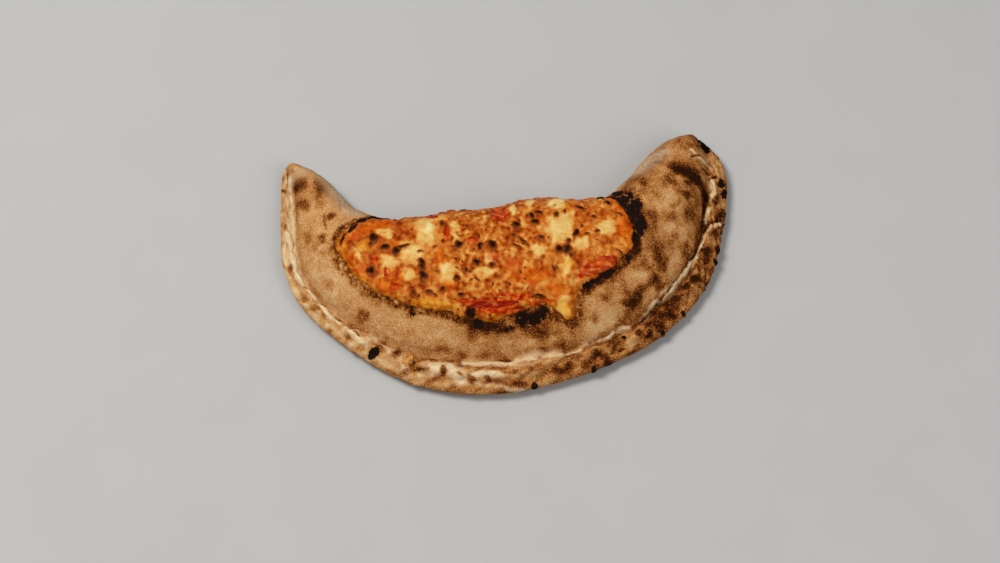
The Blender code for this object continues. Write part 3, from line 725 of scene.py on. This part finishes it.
def dough_masks(points, place, girth, region, depth):
    """Browning, char, pale ridges, flour and gloss of the dough at each point. The browning also holds painted shade in
    cracks, crimps, along ridge flanks and near the board, and painted light on fold crests.
    """
    plan, exact = wavered(points), points[:, :2]
    right = smooth(-30.0, 95.0, points[:, 0])
    pale_side = smooth(-20.0, -80.0, points[:, 0]) * smooth(25.0, 5.0, points[:, 1])
    on_rim = region == "rim"
    broad, middling, small = layered(points, 34.0, 51), layered(points, 11.0, 52), noise(points, 4.5, 55)
    brown = 0.30 + 0.13 * right + (0.09 + 0.07 * right) * broad + (0.13 + 0.13 * right) * middling
    brown = np.maximum(brown + (0.04 + 0.05 * right) * small, 0.16 + 0.14 * right)
    brown += on_rim * (0.05 * smooth(-60, 40, points[:, 0]) - 0.19 * smooth(-50, -120, points[:, 0]))
    blisters = rim_blisters(points, smooth(10.0, 12.5, place))
    folds, crimps = rim_folds(place, girth)
    # Blisters on the rim brown more. The rim also darkens towards its widest point by the board: painted shade of the
    # contact with the board, partly browning.
    brown += on_rim * (0.12 + 0.50 * right) * (blisters - 0.28 + 0.12 * right) + 0.12 * on_rim * smooth(0.7, 1.0, girth)
    # Painted shade in the valleys of the crimps and painted light on the crests of the folds, following the rim's
    # relief
    brown += on_rim * (1.0 - 0.5 * right) * (0.20 * crimps - 0.14 * folds)
    brown -= (0.06 + 0.13 * right) * ovals(plan, BRIGHT_AREAS, soft(0.9))
    dark_spots = ovals(plan, DARK_SPOTS, soft(0.75))
    brown_spots = ovals(plan, BROWN_SPOTS, soft(0.75))
    brown += 0.44 * dark_spots + (0.32 + 0.06 * on_rim) * brown_spots
    brown += 0.24 * ovals(plan, FAINT_SPOTS, soft(0.8)) + 0.5 * lines(points, DARK_BANDS)
    distance, owner = cells(points, 17.0, 53)
    unseen = np.where(region == "under", 1.0, smooth(0.16, 0.04, girth) * (region == "back"))
    brown += unseen * (owner < 0.5) * (0.15 + 0.5 * owner) * (1.0 - smooth(0.15, 0.42, distance))
    granules = noise(points, 2.6, 57)
    outside = -depth + 1.8 * noise(points, 4.5, 54) + 0.6 * granules
    near_cheese = (region == "back") * smooth(-1.5, 0.0, outside) * smooth(6.4, 2.2, outside)
    start, end = (np.interp(place, CHEESE_EDGES[:, 0], CHEESE_EDGES[:, i]) for i in (1, 2))
    inner = smooth(0.05, -0.05, girth - 0.5 * (start + end))
    scorch = [np.interp(place, CHAR_PLACES, strengths) for strengths in (INNER_CHAR, OUTER_CHAR)]
    scorch = near_cheese * (scorch[0] * inner + scorch[1] * (1.0 - inner))
    burnt = ovals(plan, CHAR_SPOTS, soft(1.0)) * (1.15 + 0.7 * granules)
    char = np.maximum(smooth(0.62, 1.0, scorch), smooth(0.15, 0.95, burnt))
    beads = sum(ovals(exact, ((x, y, radius, radius, 0),), dome) for x, y, radius in BEADS)
    burst = ovals(exact, BURST_BLISTER, lambda distance: 1.0 - smooth(0.8, 1.15, distance))
    # Cracks, painted dark below as painted shade in their gaps
    cracks = lines(points, CRACKS)
    ridges = lines(points, PALE_RIDGES) * clamp(0.95 + 0.6 * layered(points, 9.0, 56, 2))
    ridges *= (1.0 - cracks) * (1.0 - dark_spots) * (1.0 - 0.5 * brown_spots)
    flour = lines(points, FLOUR_STREAKS)
    brown += 0.74 * scorch * (1.0 + 1.3 * granules) + 0.25 * char - 0.25 * ridges - 0.05 * pale_side
    # Painted shade, partly browning, along both flanks of each pale ridge, and painted shade in the narrow gaps of the
    # cracks
    brown += 0.14 * lines(points, PALE_RIDGES, flank_shade) + 0.5 * cracks
    return {
        "brown": clamp(brown, 0.0, 1.2),
        "char": clamp(char + clamp(beads * 2) + burst),
        "ridge": ridges,
        "flour": clamp(flour),
        "gloss": clamp(beads + burst),
    }


def make_dough(surface):
    """The folded dough: a ring of points at each station, closed at both tips."""
    rings = [("back", i / BACK_POINTS) for i in range(BACK_POINTS)]
    rings += [("rim", i / RIM_POINTS) for i in range(RIM_POINTS)]
    rings += [("under", i / UNDER_POINTS) for i in range(UNDER_POINTS)]
    ring_points = len(rings)
    place = np.repeat(station_places(), ring_points)
    region = np.tile(np.array([name for name, _ in rings]), STATIONS)
    girth = np.tile(np.array([share for _, share in rings]), STATIONS)
    points, depth = np.zeros((len(place), 3)), np.full(len(place), -99.0)
    back, rim, under = (np.flatnonzero(region == name) for name in ("back", "rim", "under"))
    points[back], _, depth[back] = back_surface(place[back], girth[back])
    points[rim], _ = rim_surface(place[rim], girth[rim])
    base = under_points(place[under], girth[under])
    outwards = normals_of(under_points, place[under], girth[under])
    points[under] = base + outwards * (0.5 * noise(base, 9.0, 61) * smooth(0.0, 3.0, base[:, 2]))[:, None]
    points[:, 2] = np.maximum(points[:, 2], 0.0)
    masks = dough_masks(points, place, girth, region, depth)
    tips = [points[:ring_points].mean(axis=0), points[-ring_points:].mean(axis=0)]
    poles = len(points), len(points) + 1
    faces = tube_faces(STATIONS, ring_points)
    faces += cap_faces(0, ring_points, poles[0], False)
    faces += cap_faces((STATIONS - 1) * ring_points, ring_points, poles[1], True)
    masks = {name: np.append(values, (values[0], values[-1])) for name, values in masks.items()}
    return mesh_object("baked_crust", np.vstack((points, tips)), faces, masks, surface, "baked_dough", "crust")


# Cheese


def cheese_height(points, place, girth, depth):
    """Thickness of the cheese over the dough, in mm."""
    plan = wavered(points, 1.3, 7.0)
    pools = ovals(plan, CHEESE_POOLS, soft(0.7))
    slit = ovals(wavered(points), SLIT, soft(0.5))
    height = 0.7 + CHEESE_THICKNESS_MM * smooth(0.0, 4.5, depth)
    height += 0.6 * pools + 0.6 * layered(points, 8.0, 41, 2) + (0.24 - 0.16 * pools) * layered(points, 3.2, 42)
    ropes = 1.0 - np.abs(noise(points, 6.5, 43)) * 3.0
    height += 0.40 * np.maximum(ropes, 0.0) * (1.0 - pools) * smooth(2.0, 5.0, depth)
    raised_plan = wavered(points, 0.5, 4.0)
    every = BURNT_BLISTERS + BROWN_BLISTERS + PALE_BLISTERS
    height += 1.1 * ovals(raised_plan, BURNT_BLISTERS, dome) + 0.7 * ovals(raised_plan, BROWN_BLISTERS, dome)
    height += 0.5 * ovals(raised_plan, PALE_BLISTERS, dome) - 0.3 * ovals(raised_plan, every, ring)
    height += 0.9 * ovals(points[:, :2], ((37, -47, 8, 5, 65),), ring) * (place > 9.0) - 1.3 * slit
    return np.where(depth > 0.0, height * smooth(-0.2, 1.2, depth), 0.9 * np.maximum(depth, -1.3))


def cheese_surface(place, girth):
    """Top of the cheese, its normals, its depth, and the dough under it."""
    base, normals, depth = back_surface(place, girth)
    height = cheese_height(base, place, girth, depth)
    sunk = 0.9 * smooth(1.5, 3.5, depth)
    return base + normals * (height + sunk)[:, None], normals, depth, base


def blister_core(distance):
    return smooth(1.0, 0.0, distance)


def blister_halo(distance):
    return smooth(1.5, 0.6, distance)


def cheese_masks(points, place, girth, depth):
    """Paleness, fat, sauce, blisters and scorched edge of the cheese at each point. The blisters are burnt brown with
    painted shade on one side.
    """
    plan, fine_plan = wavered(points, 1.6, 7.0), wavered(points, 0.8, 3.2)
    leaning_plan = fine_plan + 1.1 * np.column_stack((noise(points, 9.0, 91), noise(points, 9.0, 92)))
    flow = np.column_stack((wavered(points, 3.5, 9.0), points[:, 2]))
    x = points[:, 0]
    middle = smooth(-40, -28, x) * smooth(30, 15, x)
    pale = ovals(wavered(points, 3.0, 6.5), CHEESE_POOLS, soft(0.4))
    creases = 1.0 - smooth(0.03, 0.14, np.abs(layered(flow, 8.0, 48, 2)))
    left = 1.0 - smooth(9.2, 9.8, place)
    edge = smooth(3.6, 0.4, depth)
    right_end = smooth(9.0, 2.5, depth) * smooth(10.3, 10.8, place)
    tongue_edge = smooth(2.4, 0.8, depth) * smooth(0.665, 0.70, girth) * smooth(8.9, 9.1, place) * left
    busy = 1.0 - 0.6 * pale
    tone = 0.43 + 0.36 * pale + (0.21 - 0.03 * middle) * layered(flow, 9.0, 44)
    tone += busy * (0.17 + 0.17 * middle) * noise(points, 3.2, 45) - 0.12 * creases * busy
    tone += 0.14 * (1.0 - 0.4 * pale) * noise(points * (1.0, 0.35, 1.0), 3.0, 49)
    tone -= 0.14 * ovals(fine_plan, BURNT_BLISTERS + BROWN_BLISTERS, soft(0.7)) + 0.08 * edge
    tone -= 0.07 * smooth(-45.0, -70.0, x) + 0.03 * middle
    dark = np.zeros(len(points))
    # Burnt brown blisters: core and halo sit off centre from each other, so each blister is darker on one side, painted
    # shade over the burnt colour
    for strength, rows in ((1.0, BURNT_BLISTERS), (0.72, BROWN_BLISTERS), (0.48, PALE_BLISTERS)):
        core = ovals(fine_plan - (0.3, 0.6), rows, blister_core)
        shade = 0.45 * ovals(leaning_plan, rows, blister_halo) + 0.62 * core
        dark = np.maximum(dark, strength * shade)
    specks = smooth(0.20, 0.75, noise(points, 2.6, 46)) * (0.20 + 0.40 * middle) * busy
    dark = np.maximum(np.maximum(dark, specks) * (1.0 + 0.3 * noise(points, 2.6, 47)), 0.5 * tongue_edge)
    strength = np.interp(place, (4.7, 5.0, 6.5, 7.5, 9.0, 9.25, 9.5, 10.5, 11.1), (
        0.75, 0.7, 0.5, 0.6, 0.6, 0.25, 0.6, 0.85, 1.0))
    reach = 2.4 + 1.2 * noise(points, 3.5, 93) + 2.0 * smooth(6.2, 5.6, place) * smooth(0.48, 0.40, girth)
    spots = ovals(fine_plan, CHAR_SPOTS, soft(0.6)) * smooth(14.0, 8.0, depth)
    return {
        "tone": clamp(tone),
        "yellow": np.maximum(ovals(plan, YELLOW_POOLS, soft(0.7)), edge * left * smooth(0.3, 0.45, girth)),
        "orange": np.maximum(
            ovals(plan, ORANGE_POOLS, soft(0.7)),
            np.maximum(np.maximum(0.8 * edge * (1.0 - left), 0.9 * right_end), 0.6 * creases * busy),
        ),
        "red": ovals(wavered(points, 1.0, 4.0), RED_POOLS, soft(0.5)),
        "pink": ovals(plan, PINK_POOLS, soft(0.8)),
        "dark": clamp(dark),
        "char": np.maximum(smooth(reach, 0.0, depth) * strength, spots),
    }


def make_cheese(surface):
    """The cheese: its top in rows from the fold outwards, and hidden rows inside the dough."""
    places = np.linspace(CHEESE_FIRST, CHEESE_LAST, CHEESE_STATIONS)
    start, end = (np.interp(places, CHEESE_EDGES[:, 0], CHEESE_EDGES[:, i]) for i in (1, 2))
    end = end + tongue_at(places)
    across = unrolled(places, np.ones(CHEESE_STATIONS))[1]
    margin = CHEESE_MARGIN_MM / across
    low, high = np.maximum(start - margin, 0.012), np.minimum(end + margin, 0.9)
    share = np.linspace(0.0, 1.0, CHEESE_ROWS)
    girth = low[:, None] + (high - low)[:, None] * share
    place = np.repeat(places, CHEESE_ROWS)
    top, _, depth, base = cheese_surface(place, girth.ravel())
    masks = cheese_masks(base, place, girth.ravel(), depth)
    hidden = np.linspace(1.0, 0.0, HIDDEN_ROWS + 2)[1:-1]
    inner_girth = (low[:, None] + (high - low)[:, None] * hidden).ravel()
    inner_place = np.repeat(places, HIDDEN_ROWS)
    inner = back_points(inner_place, inner_girth) - 3.0 * normals_of(back_points, inner_place, inner_girth)
    ring_points = CHEESE_ROWS + HIDDEN_ROWS
    top, inner = top.reshape(CHEESE_STATIONS, -1, 3), inner.reshape(CHEESE_STATIONS, -1, 3)
    points = np.concatenate((top, inner), axis=1).reshape(-1, 3)
    masks = {
        name: np.concatenate((values.reshape(CHEESE_STATIONS, -1), np.zeros((CHEESE_STATIONS, HIDDEN_ROWS))), 1)
        for name, values in masks.items()
    }
    ends = [points[:ring_points].mean(axis=0), points[-ring_points:].mean(axis=0)]
    faces = tube_faces(CHEESE_STATIONS, ring_points)
    faces += cap_faces(0, ring_points, len(points), False)
    faces += cap_faces((CHEESE_STATIONS - 1) * ring_points, ring_points, len(points) + 1, True)
    masks = {name: np.append(values.ravel(), (0.0, 0.0)) for name, values in masks.items()}
    return mesh_object(
        "melted_cheese", np.vstack((points, ends)), faces, masks, surface, "melted_cheese", "cheese_topping"
    )


# Pieces that lie on the cheese or the rim


def make_patch(name, node, surface_of, centre, half_sizes, turn, height, surface, slot, seed, masks_of):
    """A closed piece that lies on a surface: rings of points on top, and a hidden inside."""
    rings, segments = 34, 96
    place, girth = (np.array((value,)) for value in centre)
    step_place, step_girth = 0.02, 0.01
    along = (surface_of(place + step_place, girth) - surface_of(place - step_place, girth))[0] / (2 * step_place)
    over = (surface_of(place, girth + step_girth) - surface_of(place, girth - step_girth))[0] / (2 * step_girth)
    angle = np.tile(np.linspace(0.0, math.tau, segments, endpoint=False), rings)
    reach = np.repeat(np.linspace(0.02, 1.0, rings), segments)
    circle = np.column_stack((np.cos(angle), np.sin(angle), np.full(len(angle), float(seed))))
    ragged = 1.0 + 0.20 * layered(circle, 0.9, seed) + 0.06 * noise(circle, 0.2, seed + 1)
    x = reach * ragged * np.cos(angle) * half_sizes[0]
    y = reach * ragged * np.sin(angle) * half_sizes[1]
    cosine, sine = math.cos(math.radians(turn)), math.sin(math.radians(turn))
    across_u, across_v = x * cosine - y * sine, x * sine + y * cosine
    places = centre[0] + across_u / np.linalg.norm(along)
    girths = centre[1] + across_v / np.linalg.norm(over)
    base = surface_of(places, girths)
    step = 0.01
    run = surface_of(places + step, girths) - surface_of(places - step, girths)
    rise = surface_of(places, girths + step) - surface_of(places, girths - step)
    normals = np.cross(rise, run)
    normals /= np.maximum(np.linalg.norm(normals, axis=1, keepdims=True), 1e-9)
    wrinkles = 0.22 * layered(base, 4.0, seed + 2) + 0.08 * noise(base, 1.3, seed + 3)
    rounding = np.sqrt(np.maximum(1.0 - reach**4, 0.0))
    top = base + normals * ((height + wrinkles) * rounding - 0.35)[:, None]
    inner_base, inner_normals = base[segments * (rings // 2):segments * (rings // 2 + 1)], normals[:segments]
    inner = inner_base - 1.6 * inner_normals
    points = np.vstack((top, inner, top[:segments].mean(axis=0), inner.mean(axis=0)))
    faces = tube_faces(rings + 1, segments)
    faces += cap_faces(0, segments, len(points) - 2, False)
    faces += cap_faces(rings * segments, segments, len(points) - 1, True)
    masks = {
        key: np.concatenate((values, values[-segments:], (values[0], values[-1])))
        for key, values in masks_of(base, reach, seed).items()
    }
    return mesh_object(name, points, faces, masks, surface, slot, node)


def tomato_masks(base, reach, seed):
    return {
        "rind": clamp(0.5 + 0.8 * layered(base, 4.0, seed + 5)) * smooth(0.2, 0.9, reach),
        "fat": smooth(0.05, 0.45, layered(base * (0.35, 1.0, 0.5), 2.2, seed + 6)),
    }


def leak_masks(base, reach, seed):
    scorched = ovals(wavered(base), LEAK_SPOTS, soft(0.7))
    return {"rind": clamp(smooth(0.75, 1.0, reach) + scorched), "fat": smooth(0.0, 0.8, layered(base, 3.0, seed + 6))}


def over_cheese(place, girth):
    return cheese_surface(place, girth)[0]


def over_rim(place, girth):
    return rim_surface(place, girth)[0]


# Materials


def linear(red, green, blue):
    """A colour given in display values of 0 to 255, as the shader wants it."""
    shares = [value / 255.0 for value in (red, green, blue)]
    curved = [share / 12.92 if share < 0.04045 else ((share + 0.055) / 1.055) ** 2.4 for share in shares]
    return (*curved, 1.0)


class Nodes:
    """A material's node tree, with short calls to add to it."""

    def __init__(self, name):
        self.material = bpy.data.materials.new(name)
        self.material.use_nodes = True
        self.tree = self.material.node_tree
        self.shader = self.tree.nodes["Principled BSDF"]
        self.space = self.add("TexCoord").outputs["Object"]

    def add(self, kind, inputs=(), **settings):
        made = self.tree.nodes.new("ShaderNode" + kind)
        for key, value in settings.items():
            setattr(made, key, value)
        for key, value in dict(inputs).items():
            self.put(made.inputs[key], value)
        return made

    def put(self, socket, value):
        if isinstance(value, bpy.types.NodeSocket):
            self.tree.links.new(value, socket)
        else:
            socket.default_value = value

    def math(self, operation, first, second, clamped=False):
        return self.add("Math", {0: first, 1: second}, operation=operation, use_clamp=clamped).outputs[0]

    def mask(self, name):
        return self.add("Attribute", attribute_name=name).outputs["Fac"]

    def noise(self, length_mm, detail=3.0, roughness=0.55):
        """Noise of 0 to 1 with features of a length in mm."""
        inputs = {"Vector": self.space, "Scale": 1000.0 / length_mm, "Detail": detail, "Roughness": roughness}
        return self.add("TexNoise", inputs).outputs[0]

    def around(self, length_mm, height, detail=3.0):
        """Noise of about minus height to plus height."""
        return self.math("MULTIPLY", self.math("SUBTRACT", self.noise(length_mm, detail), 0.5), 2.0 * height)

    def warped(self, amount_mm):
        """The coordinates, pushed about by noise."""
        push = self.add("TexNoise", {"Vector": self.space, "Scale": 220.0, "Detail": 2.0}).outputs["Color"]
        push = self.add("VectorMath", {0: push, 1: (0.5, 0.5, 0.5)}, operation="SUBTRACT").outputs[0]
        scale = 2.0 * amount_mm * MM
        push = self.add("VectorMath", {0: push, 1: (scale, scale, scale)}, operation="MULTIPLY").outputs[0]
        return self.add("VectorMath", {0: self.space, 1: push}, operation="ADD").outputs[0]

    def ramp(self, factor, *stops):
        """A colour or a number that follows a factor: stops are (place, colour of 0 to 255) pairs."""
        made = self.add("ValToRGB", {0: factor})
        marks = made.color_ramp.elements
        while len(marks) < len(stops):
            marks.new(1.0)
        for mark, (place, colour) in zip(marks, stops):
            mark.position = place
            mark.color = linear(*colour)
        return made.outputs[0]

    def step(self, factor, low, high):
        """0 below low and 1 above high."""
        inputs = {"Value": factor, "From Min": low, "From Max": high}
        return self.add("MapRange", inputs, interpolation_type="SMOOTHSTEP").outputs[0]

    def mix(self, share, under, over):
        made = self.add("Mix", data_type="RGBA")
        colours = [socket for socket in made.inputs if socket.type == "RGBA"]
        self.put(made.inputs[0], share)
        for socket, value in zip(colours, (under, over)):
            self.put(socket, value)
        return next(socket for socket in made.outputs if socket.type == "RGBA")

    def bump(self, height, distance_mm, strength=1.0):
        inputs = {"Height": height, "Distance": distance_mm * MM, "Strength": strength}
        self.put(self.shader.inputs["Normal"], self.add("Bump", inputs).outputs[0])


def dough_material():
    """Baked dough: pale to dark brown with a fine speckle, floury streaks and granular char."""
    nodes = Nodes("baked_dough")
    brown, char = nodes.mask("brown"), nodes.mask("char")
    fine, middle = nodes.noise(0.95, 1.0, 0.7), nodes.noise(3.4, 3.0, 0.6)
    grains = nodes.math("SUBTRACT", fine, 0.5)
    speckle = nodes.math("MULTIPLY", grains, nodes.math("ADD", nodes.math("MULTIPLY", brown, 1.2), 0.42))
    shade = nodes.math("ADD", brown, speckle)
    shade = nodes.math("ADD", shade, nodes.math("MULTIPLY", nodes.math("SUBTRACT", middle, 0.5), 0.38))
    colour = nodes.ramp(
        shade,
        (0.00, (212, 182, 138)),
        (0.17, (197, 150, 98)),
        (0.34, (180, 125, 70)),
        (0.50, (152, 92, 39)),
        (0.66, (113, 57, 16)),
        (0.83, (74, 33, 6)),
        (1.00, (38, 16, 4)),
    )
    ridge = nodes.math("ADD", nodes.mask("ridge"), nodes.math("MULTIPLY", nodes.math("SUBTRACT", middle, 0.5), 1.0))
    ridge = nodes.math("MULTIPLY", nodes.step(ridge, 0.15, 0.85), 0.9)
    colour = nodes.mix(ridge, colour, nodes.ramp(fine, (0.3, (214, 184, 138)), (0.6, (232, 212, 174))))
    dusted = nodes.ramp(fine, (0.38, (128, 98, 66)), (0.48, (184, 158, 124)), (0.62, (214, 198, 172)))
    colour = nodes.mix(nodes.math("MULTIPLY", nodes.mask("flour"), 0.8), colour, dusted)
    scatter = nodes.math("ADD", nodes.math("MULTIPLY", grains, 1.4), nodes.around(3.0, 0.35))
    scatter = nodes.math("ADD", nodes.math("MULTIPLY", char, 1.15), scatter)
    burnt = nodes.math("MULTIPLY", nodes.step(scatter, 0.3, 0.7), nodes.step(char, 0.03, 0.25))
    soot = nodes.ramp(scatter, (0.35, (108, 48, 13)), (0.65, (58, 25, 8)), (1.0, (24, 14, 9)))
    colour = nodes.mix(burnt, colour, soot)
    nodes.put(nodes.shader.inputs["Base Color"], colour)
    rough = nodes.math("SUBTRACT", nodes.math("ADD", 0.82, nodes.around(2.0, 0.12)), nodes.math(
        "MULTIPLY", nodes.mask("gloss"), 0.4))
    nodes.put(nodes.shader.inputs["Roughness"], rough)
    nodes.shader.inputs["Specular IOR Level"].default_value = 0.04
    grain = nodes.math("ADD", nodes.math("MULTIPLY", fine, 0.7), nodes.noise(0.6, 2.0))
    grain = nodes.math("ADD", grain, nodes.math("MULTIPLY", middle, 1.2))
    nodes.bump(nodes.math("ADD", grain, nodes.math("MULTIPLY", burnt, 0.4)), 0.42, 0.8)
    return nodes.material


def cheese_material():
    """Melted cheese: pale pools in orange fat, red sauce, soft dark blisters and a scorched edge."""
    nodes = Nodes("melted_cheese")
    flow = nodes.warped(2.2)
    fine = nodes.noise(1.1, 2.0, 0.6)
    middle = nodes.add("TexNoise", {"Vector": flow, "Scale": 300.0, "Detail": 3.0, "Roughness": 0.6}).outputs[0]
    grains, clouds = nodes.math("SUBTRACT", fine, 0.5), nodes.math("SUBTRACT", middle, 0.5)
    tone = nodes.math("ADD", nodes.mask("tone"), nodes.math("MULTIPLY", clouds, 0.42))
    tone = nodes.math("ADD", tone, nodes.math("MULTIPLY", grains, 0.20))
    colour = nodes.ramp(
        tone,
        (0.00, (92, 24, 2)),
        (0.15, (138, 50, 7)),
        (0.30, (170, 82, 20)),
        (0.45, (194, 115, 42)),
        (0.60, (207, 148, 72)),
        (0.75, (214, 172, 98)),
        (0.90, (220, 192, 124)),
        (1.00, (226, 206, 150)),
    )

    def broken(name, low=0.25, high=0.85, amount=0.7):
        """A mask with its edge broken up by noise."""
        ragged = nodes.math("ADD", nodes.mask(name), nodes.math("MULTIPLY", clouds, amount))
        return nodes.step(nodes.math("ADD", ragged, nodes.math("MULTIPLY", grains, 0.3)), low, high)

    orange = nodes.ramp(tone, (0.1, (152, 44, 0)), (0.4, (194, 86, 4)), (0.7, (214, 126, 26)))
    colour = nodes.mix(nodes.math("MULTIPLY", broken("orange"), 0.8), colour, orange)
    yellow = nodes.ramp(tone, (0.1, (166, 72, 4)), (0.4, (202, 122, 18)), (0.8, (226, 178, 84)))
    colour = nodes.mix(nodes.math("MULTIPLY", broken("yellow"), 0.85), colour, yellow)
    colour = nodes.mix(nodes.math("MULTIPLY", broken("pink"), 0.6), colour, linear(190, 74, 24))
    red = nodes.ramp(middle, (0.34, (120, 16, 0)), (0.5, (172, 44, 4)), (0.64, (206, 98, 26)))
    colour = nodes.mix(broken("red", 0.3, 0.75, 0.5), colour, red)
    dark = nodes.math("ADD", nodes.mask("dark"), nodes.math("MULTIPLY", grains, 0.22))
    blister = nodes.ramp(
        dark, (0.20, (172, 92, 30)), (0.42, (128, 60, 16)), (0.66, (82, 34, 9)), (0.90, (34, 10, 3))
    )
    colour = nodes.mix(nodes.step(dark, 0.12, 0.45), colour, blister)
    edge = nodes.math("ADD", nodes.mask("char"), nodes.math("MULTIPLY", grains, 1.5))
    scorched = nodes.math("MULTIPLY", nodes.step(edge, 0.35, 0.8), nodes.step(nodes.mask("char"), 0.02, 0.2))
    soot = nodes.ramp(edge, (0.45, (112, 44, 8)), (0.75, (58, 22, 7)), (1.0, (24, 13, 9)))
    colour = nodes.mix(scorched, colour, soot)
    nodes.put(nodes.shader.inputs["Base Color"], colour)
    wet = nodes.math("ADD", 0.45, nodes.around(2.5, 0.14))
    nodes.put(nodes.shader.inputs["Roughness"], nodes.math("ADD", wet, nodes.math("MULTIPLY", scorched, 0.35)))
    nodes.shader.inputs["Specular IOR Level"].default_value = 0.03
    nodes.bump(nodes.math("ADD", middle, nodes.math("MULTIPLY", fine, 0.35)), 0.45, 0.6)
    return nodes.material


def wet_material(name, deep, light, fat, rind, roughness):
    """Wet tomato or leaked cheese: two tones, streaks of fat and a darker rind."""
    nodes = Nodes(name)
    stretched = nodes.add("VectorMath", {0: nodes.space, 1: (0.4, 1.0, 0.8)}, operation="MULTIPLY").outputs[0]
    middle = nodes.add("TexNoise", {"Vector": stretched, "Scale": 340.0, "Detail": 4.0, "Roughness": 0.6}).outputs[0]
    fine = nodes.noise(0.9, 2.0)
    colour = nodes.ramp(middle, (0.36, deep), (0.62, light))
    streaks = nodes.math("MULTIPLY", nodes.mask("fat"), nodes.step(middle, 0.38, 0.58))
    colour = nodes.mix(nodes.math("MULTIPLY", streaks, 0.8), colour, linear(*fat))
    shade = nodes.math("MULTIPLY", nodes.mask("rind"), nodes.step(fine, 0.3, 0.6))
    colour = nodes.mix(nodes.math("MULTIPLY", shade, 0.8), colour, linear(*rind))
    nodes.put(nodes.shader.inputs["Base Color"], colour)
    nodes.put(nodes.shader.inputs["Roughness"], nodes.math("ADD", roughness, nodes.around(2.0, 0.08)))
    nodes.shader.inputs["Specular IOR Level"].default_value = 0.06
    nodes.bump(nodes.math("ADD", middle, nodes.math("MULTIPLY", fine, 0.3)), 0.35, 0.5)
    return nodes.material


def make_pieces():
    make_dough(dough_material())
    make_cheese(cheese_material())
    tomato = wet_material("cooked_tomato", (146, 28, 2), (202, 84, 22), (214, 132, 62), (132, 24, 2), 0.35)
    sauce = wet_material("tomato_sauce", (112, 10, 0), (166, 34, 4), (200, 104, 44), (96, 8, 0), 0.35)
    leak = wet_material("leaked_cheese", (200, 128, 58), (222, 170, 98), (236, 208, 154), (136, 62, 16), 0.3)
    tomatoes = (
        ((8.09, 0.23), (6.0, 5.2), 0, 0.9, tomato),
        ((7.61, 0.38), (3.6, 3.0), 10, 0.8, tomato),
        ((9.98, 0.555), (14.5, 5.6), -6, 0.8, tomato),
        ((8.09, 0.645), (18.0, 2.8), 0, 0.7, sauce),
    )
    for number, (centre, half_sizes, turn, height, surface) in enumerate(tomatoes, 1):
        make_patch(
            f"tomato_slice_{number}", f"tomato_piece_{number}", over_cheese, centre, half_sizes, turn, height,
            surface, "cooked_tomato", 69 + number, tomato_masks,
        )
    make_patch(
        "cheese_leak", "leaked_cheese", over_rim, (6.90, 0.36), (4.0, 7.2), 0, 1.3, leak, "browned_cheese", 80,
        leak_masks,
    )


# Stage


def make_floor():
    mesh = bpy.data.meshes.new("floor")
    half = 3.0
    corners = [(-half, -half, -0.0005), (half, -half, -0.0005), (half, half, -0.0005), (-half, half, -0.0005)]
    mesh.from_pydata(corners, [], [(0, 1, 2, 3)])
    nodes = Nodes("floor")
    tone = nodes.ramp(nodes.noise(60.0, 2.0), (0.3, (176, 176, 176)), (0.7, (178, 178, 178)))
    nodes.put(nodes.shader.inputs["Base Color"], tone)
    nodes.shader.inputs["Roughness"].default_value = 0.8
    mesh.materials.append(nodes.material)
    floor = bpy.data.objects.new("floor", mesh)
    bpy.context.scene.collection.objects.link(floor)


def make_light(name, location, size, power, colour):
    """A square area light that faces the object."""
    data = bpy.data.lights.new(name, "AREA")
    data.size, data.energy, data.color = size, power, colour
    light = bpy.data.objects.new(name, data)
    light.location = location
    light.rotation_mode = "QUATERNION"
    light.rotation_quaternion = (-light.location).to_track_quat("-Z", "Y")
    bpy.context.scene.collection.objects.link(light)


def make_world():
    world = bpy.data.worlds.new("studio")
    world.use_nodes = True
    background = world.node_tree.nodes["Background"]
    background.inputs["Color"].default_value = (1.0, 0.985, 0.96, 1.0)
    background.inputs["Strength"].default_value = 0.30
    bpy.context.scene.world = world


def make_camera():
    """The camera looks down at 65 degrees from 1.9 m."""
    data = bpy.data.cameras.new("camera")
    data.lens, data.sensor_width = 101.82, 36.0
    data.clip_start, data.clip_end = 0.05, 20.0
    camera = bpy.data.objects.new("camera", data)
    camera.location = (-0.0027, -0.8083, 1.7220)
    camera.rotation_euler = (math.radians(24.868), 0.0, 0.0)
    bpy.context.scene.collection.objects.link(camera)
    bpy.context.scene.camera = camera


make_pieces()
make_floor()
make_light("key", (-1.2, 0.3, 2.35), 1.0, 56.0, (1.0, 0.985, 0.96))
make_light("fill", (1.4, -0.9, 1.6), 1.4, 15.0, (1.0, 0.99, 0.97))
make_world()
make_camera()
bpy.context.scene.view_settings.view_transform = "Standard"
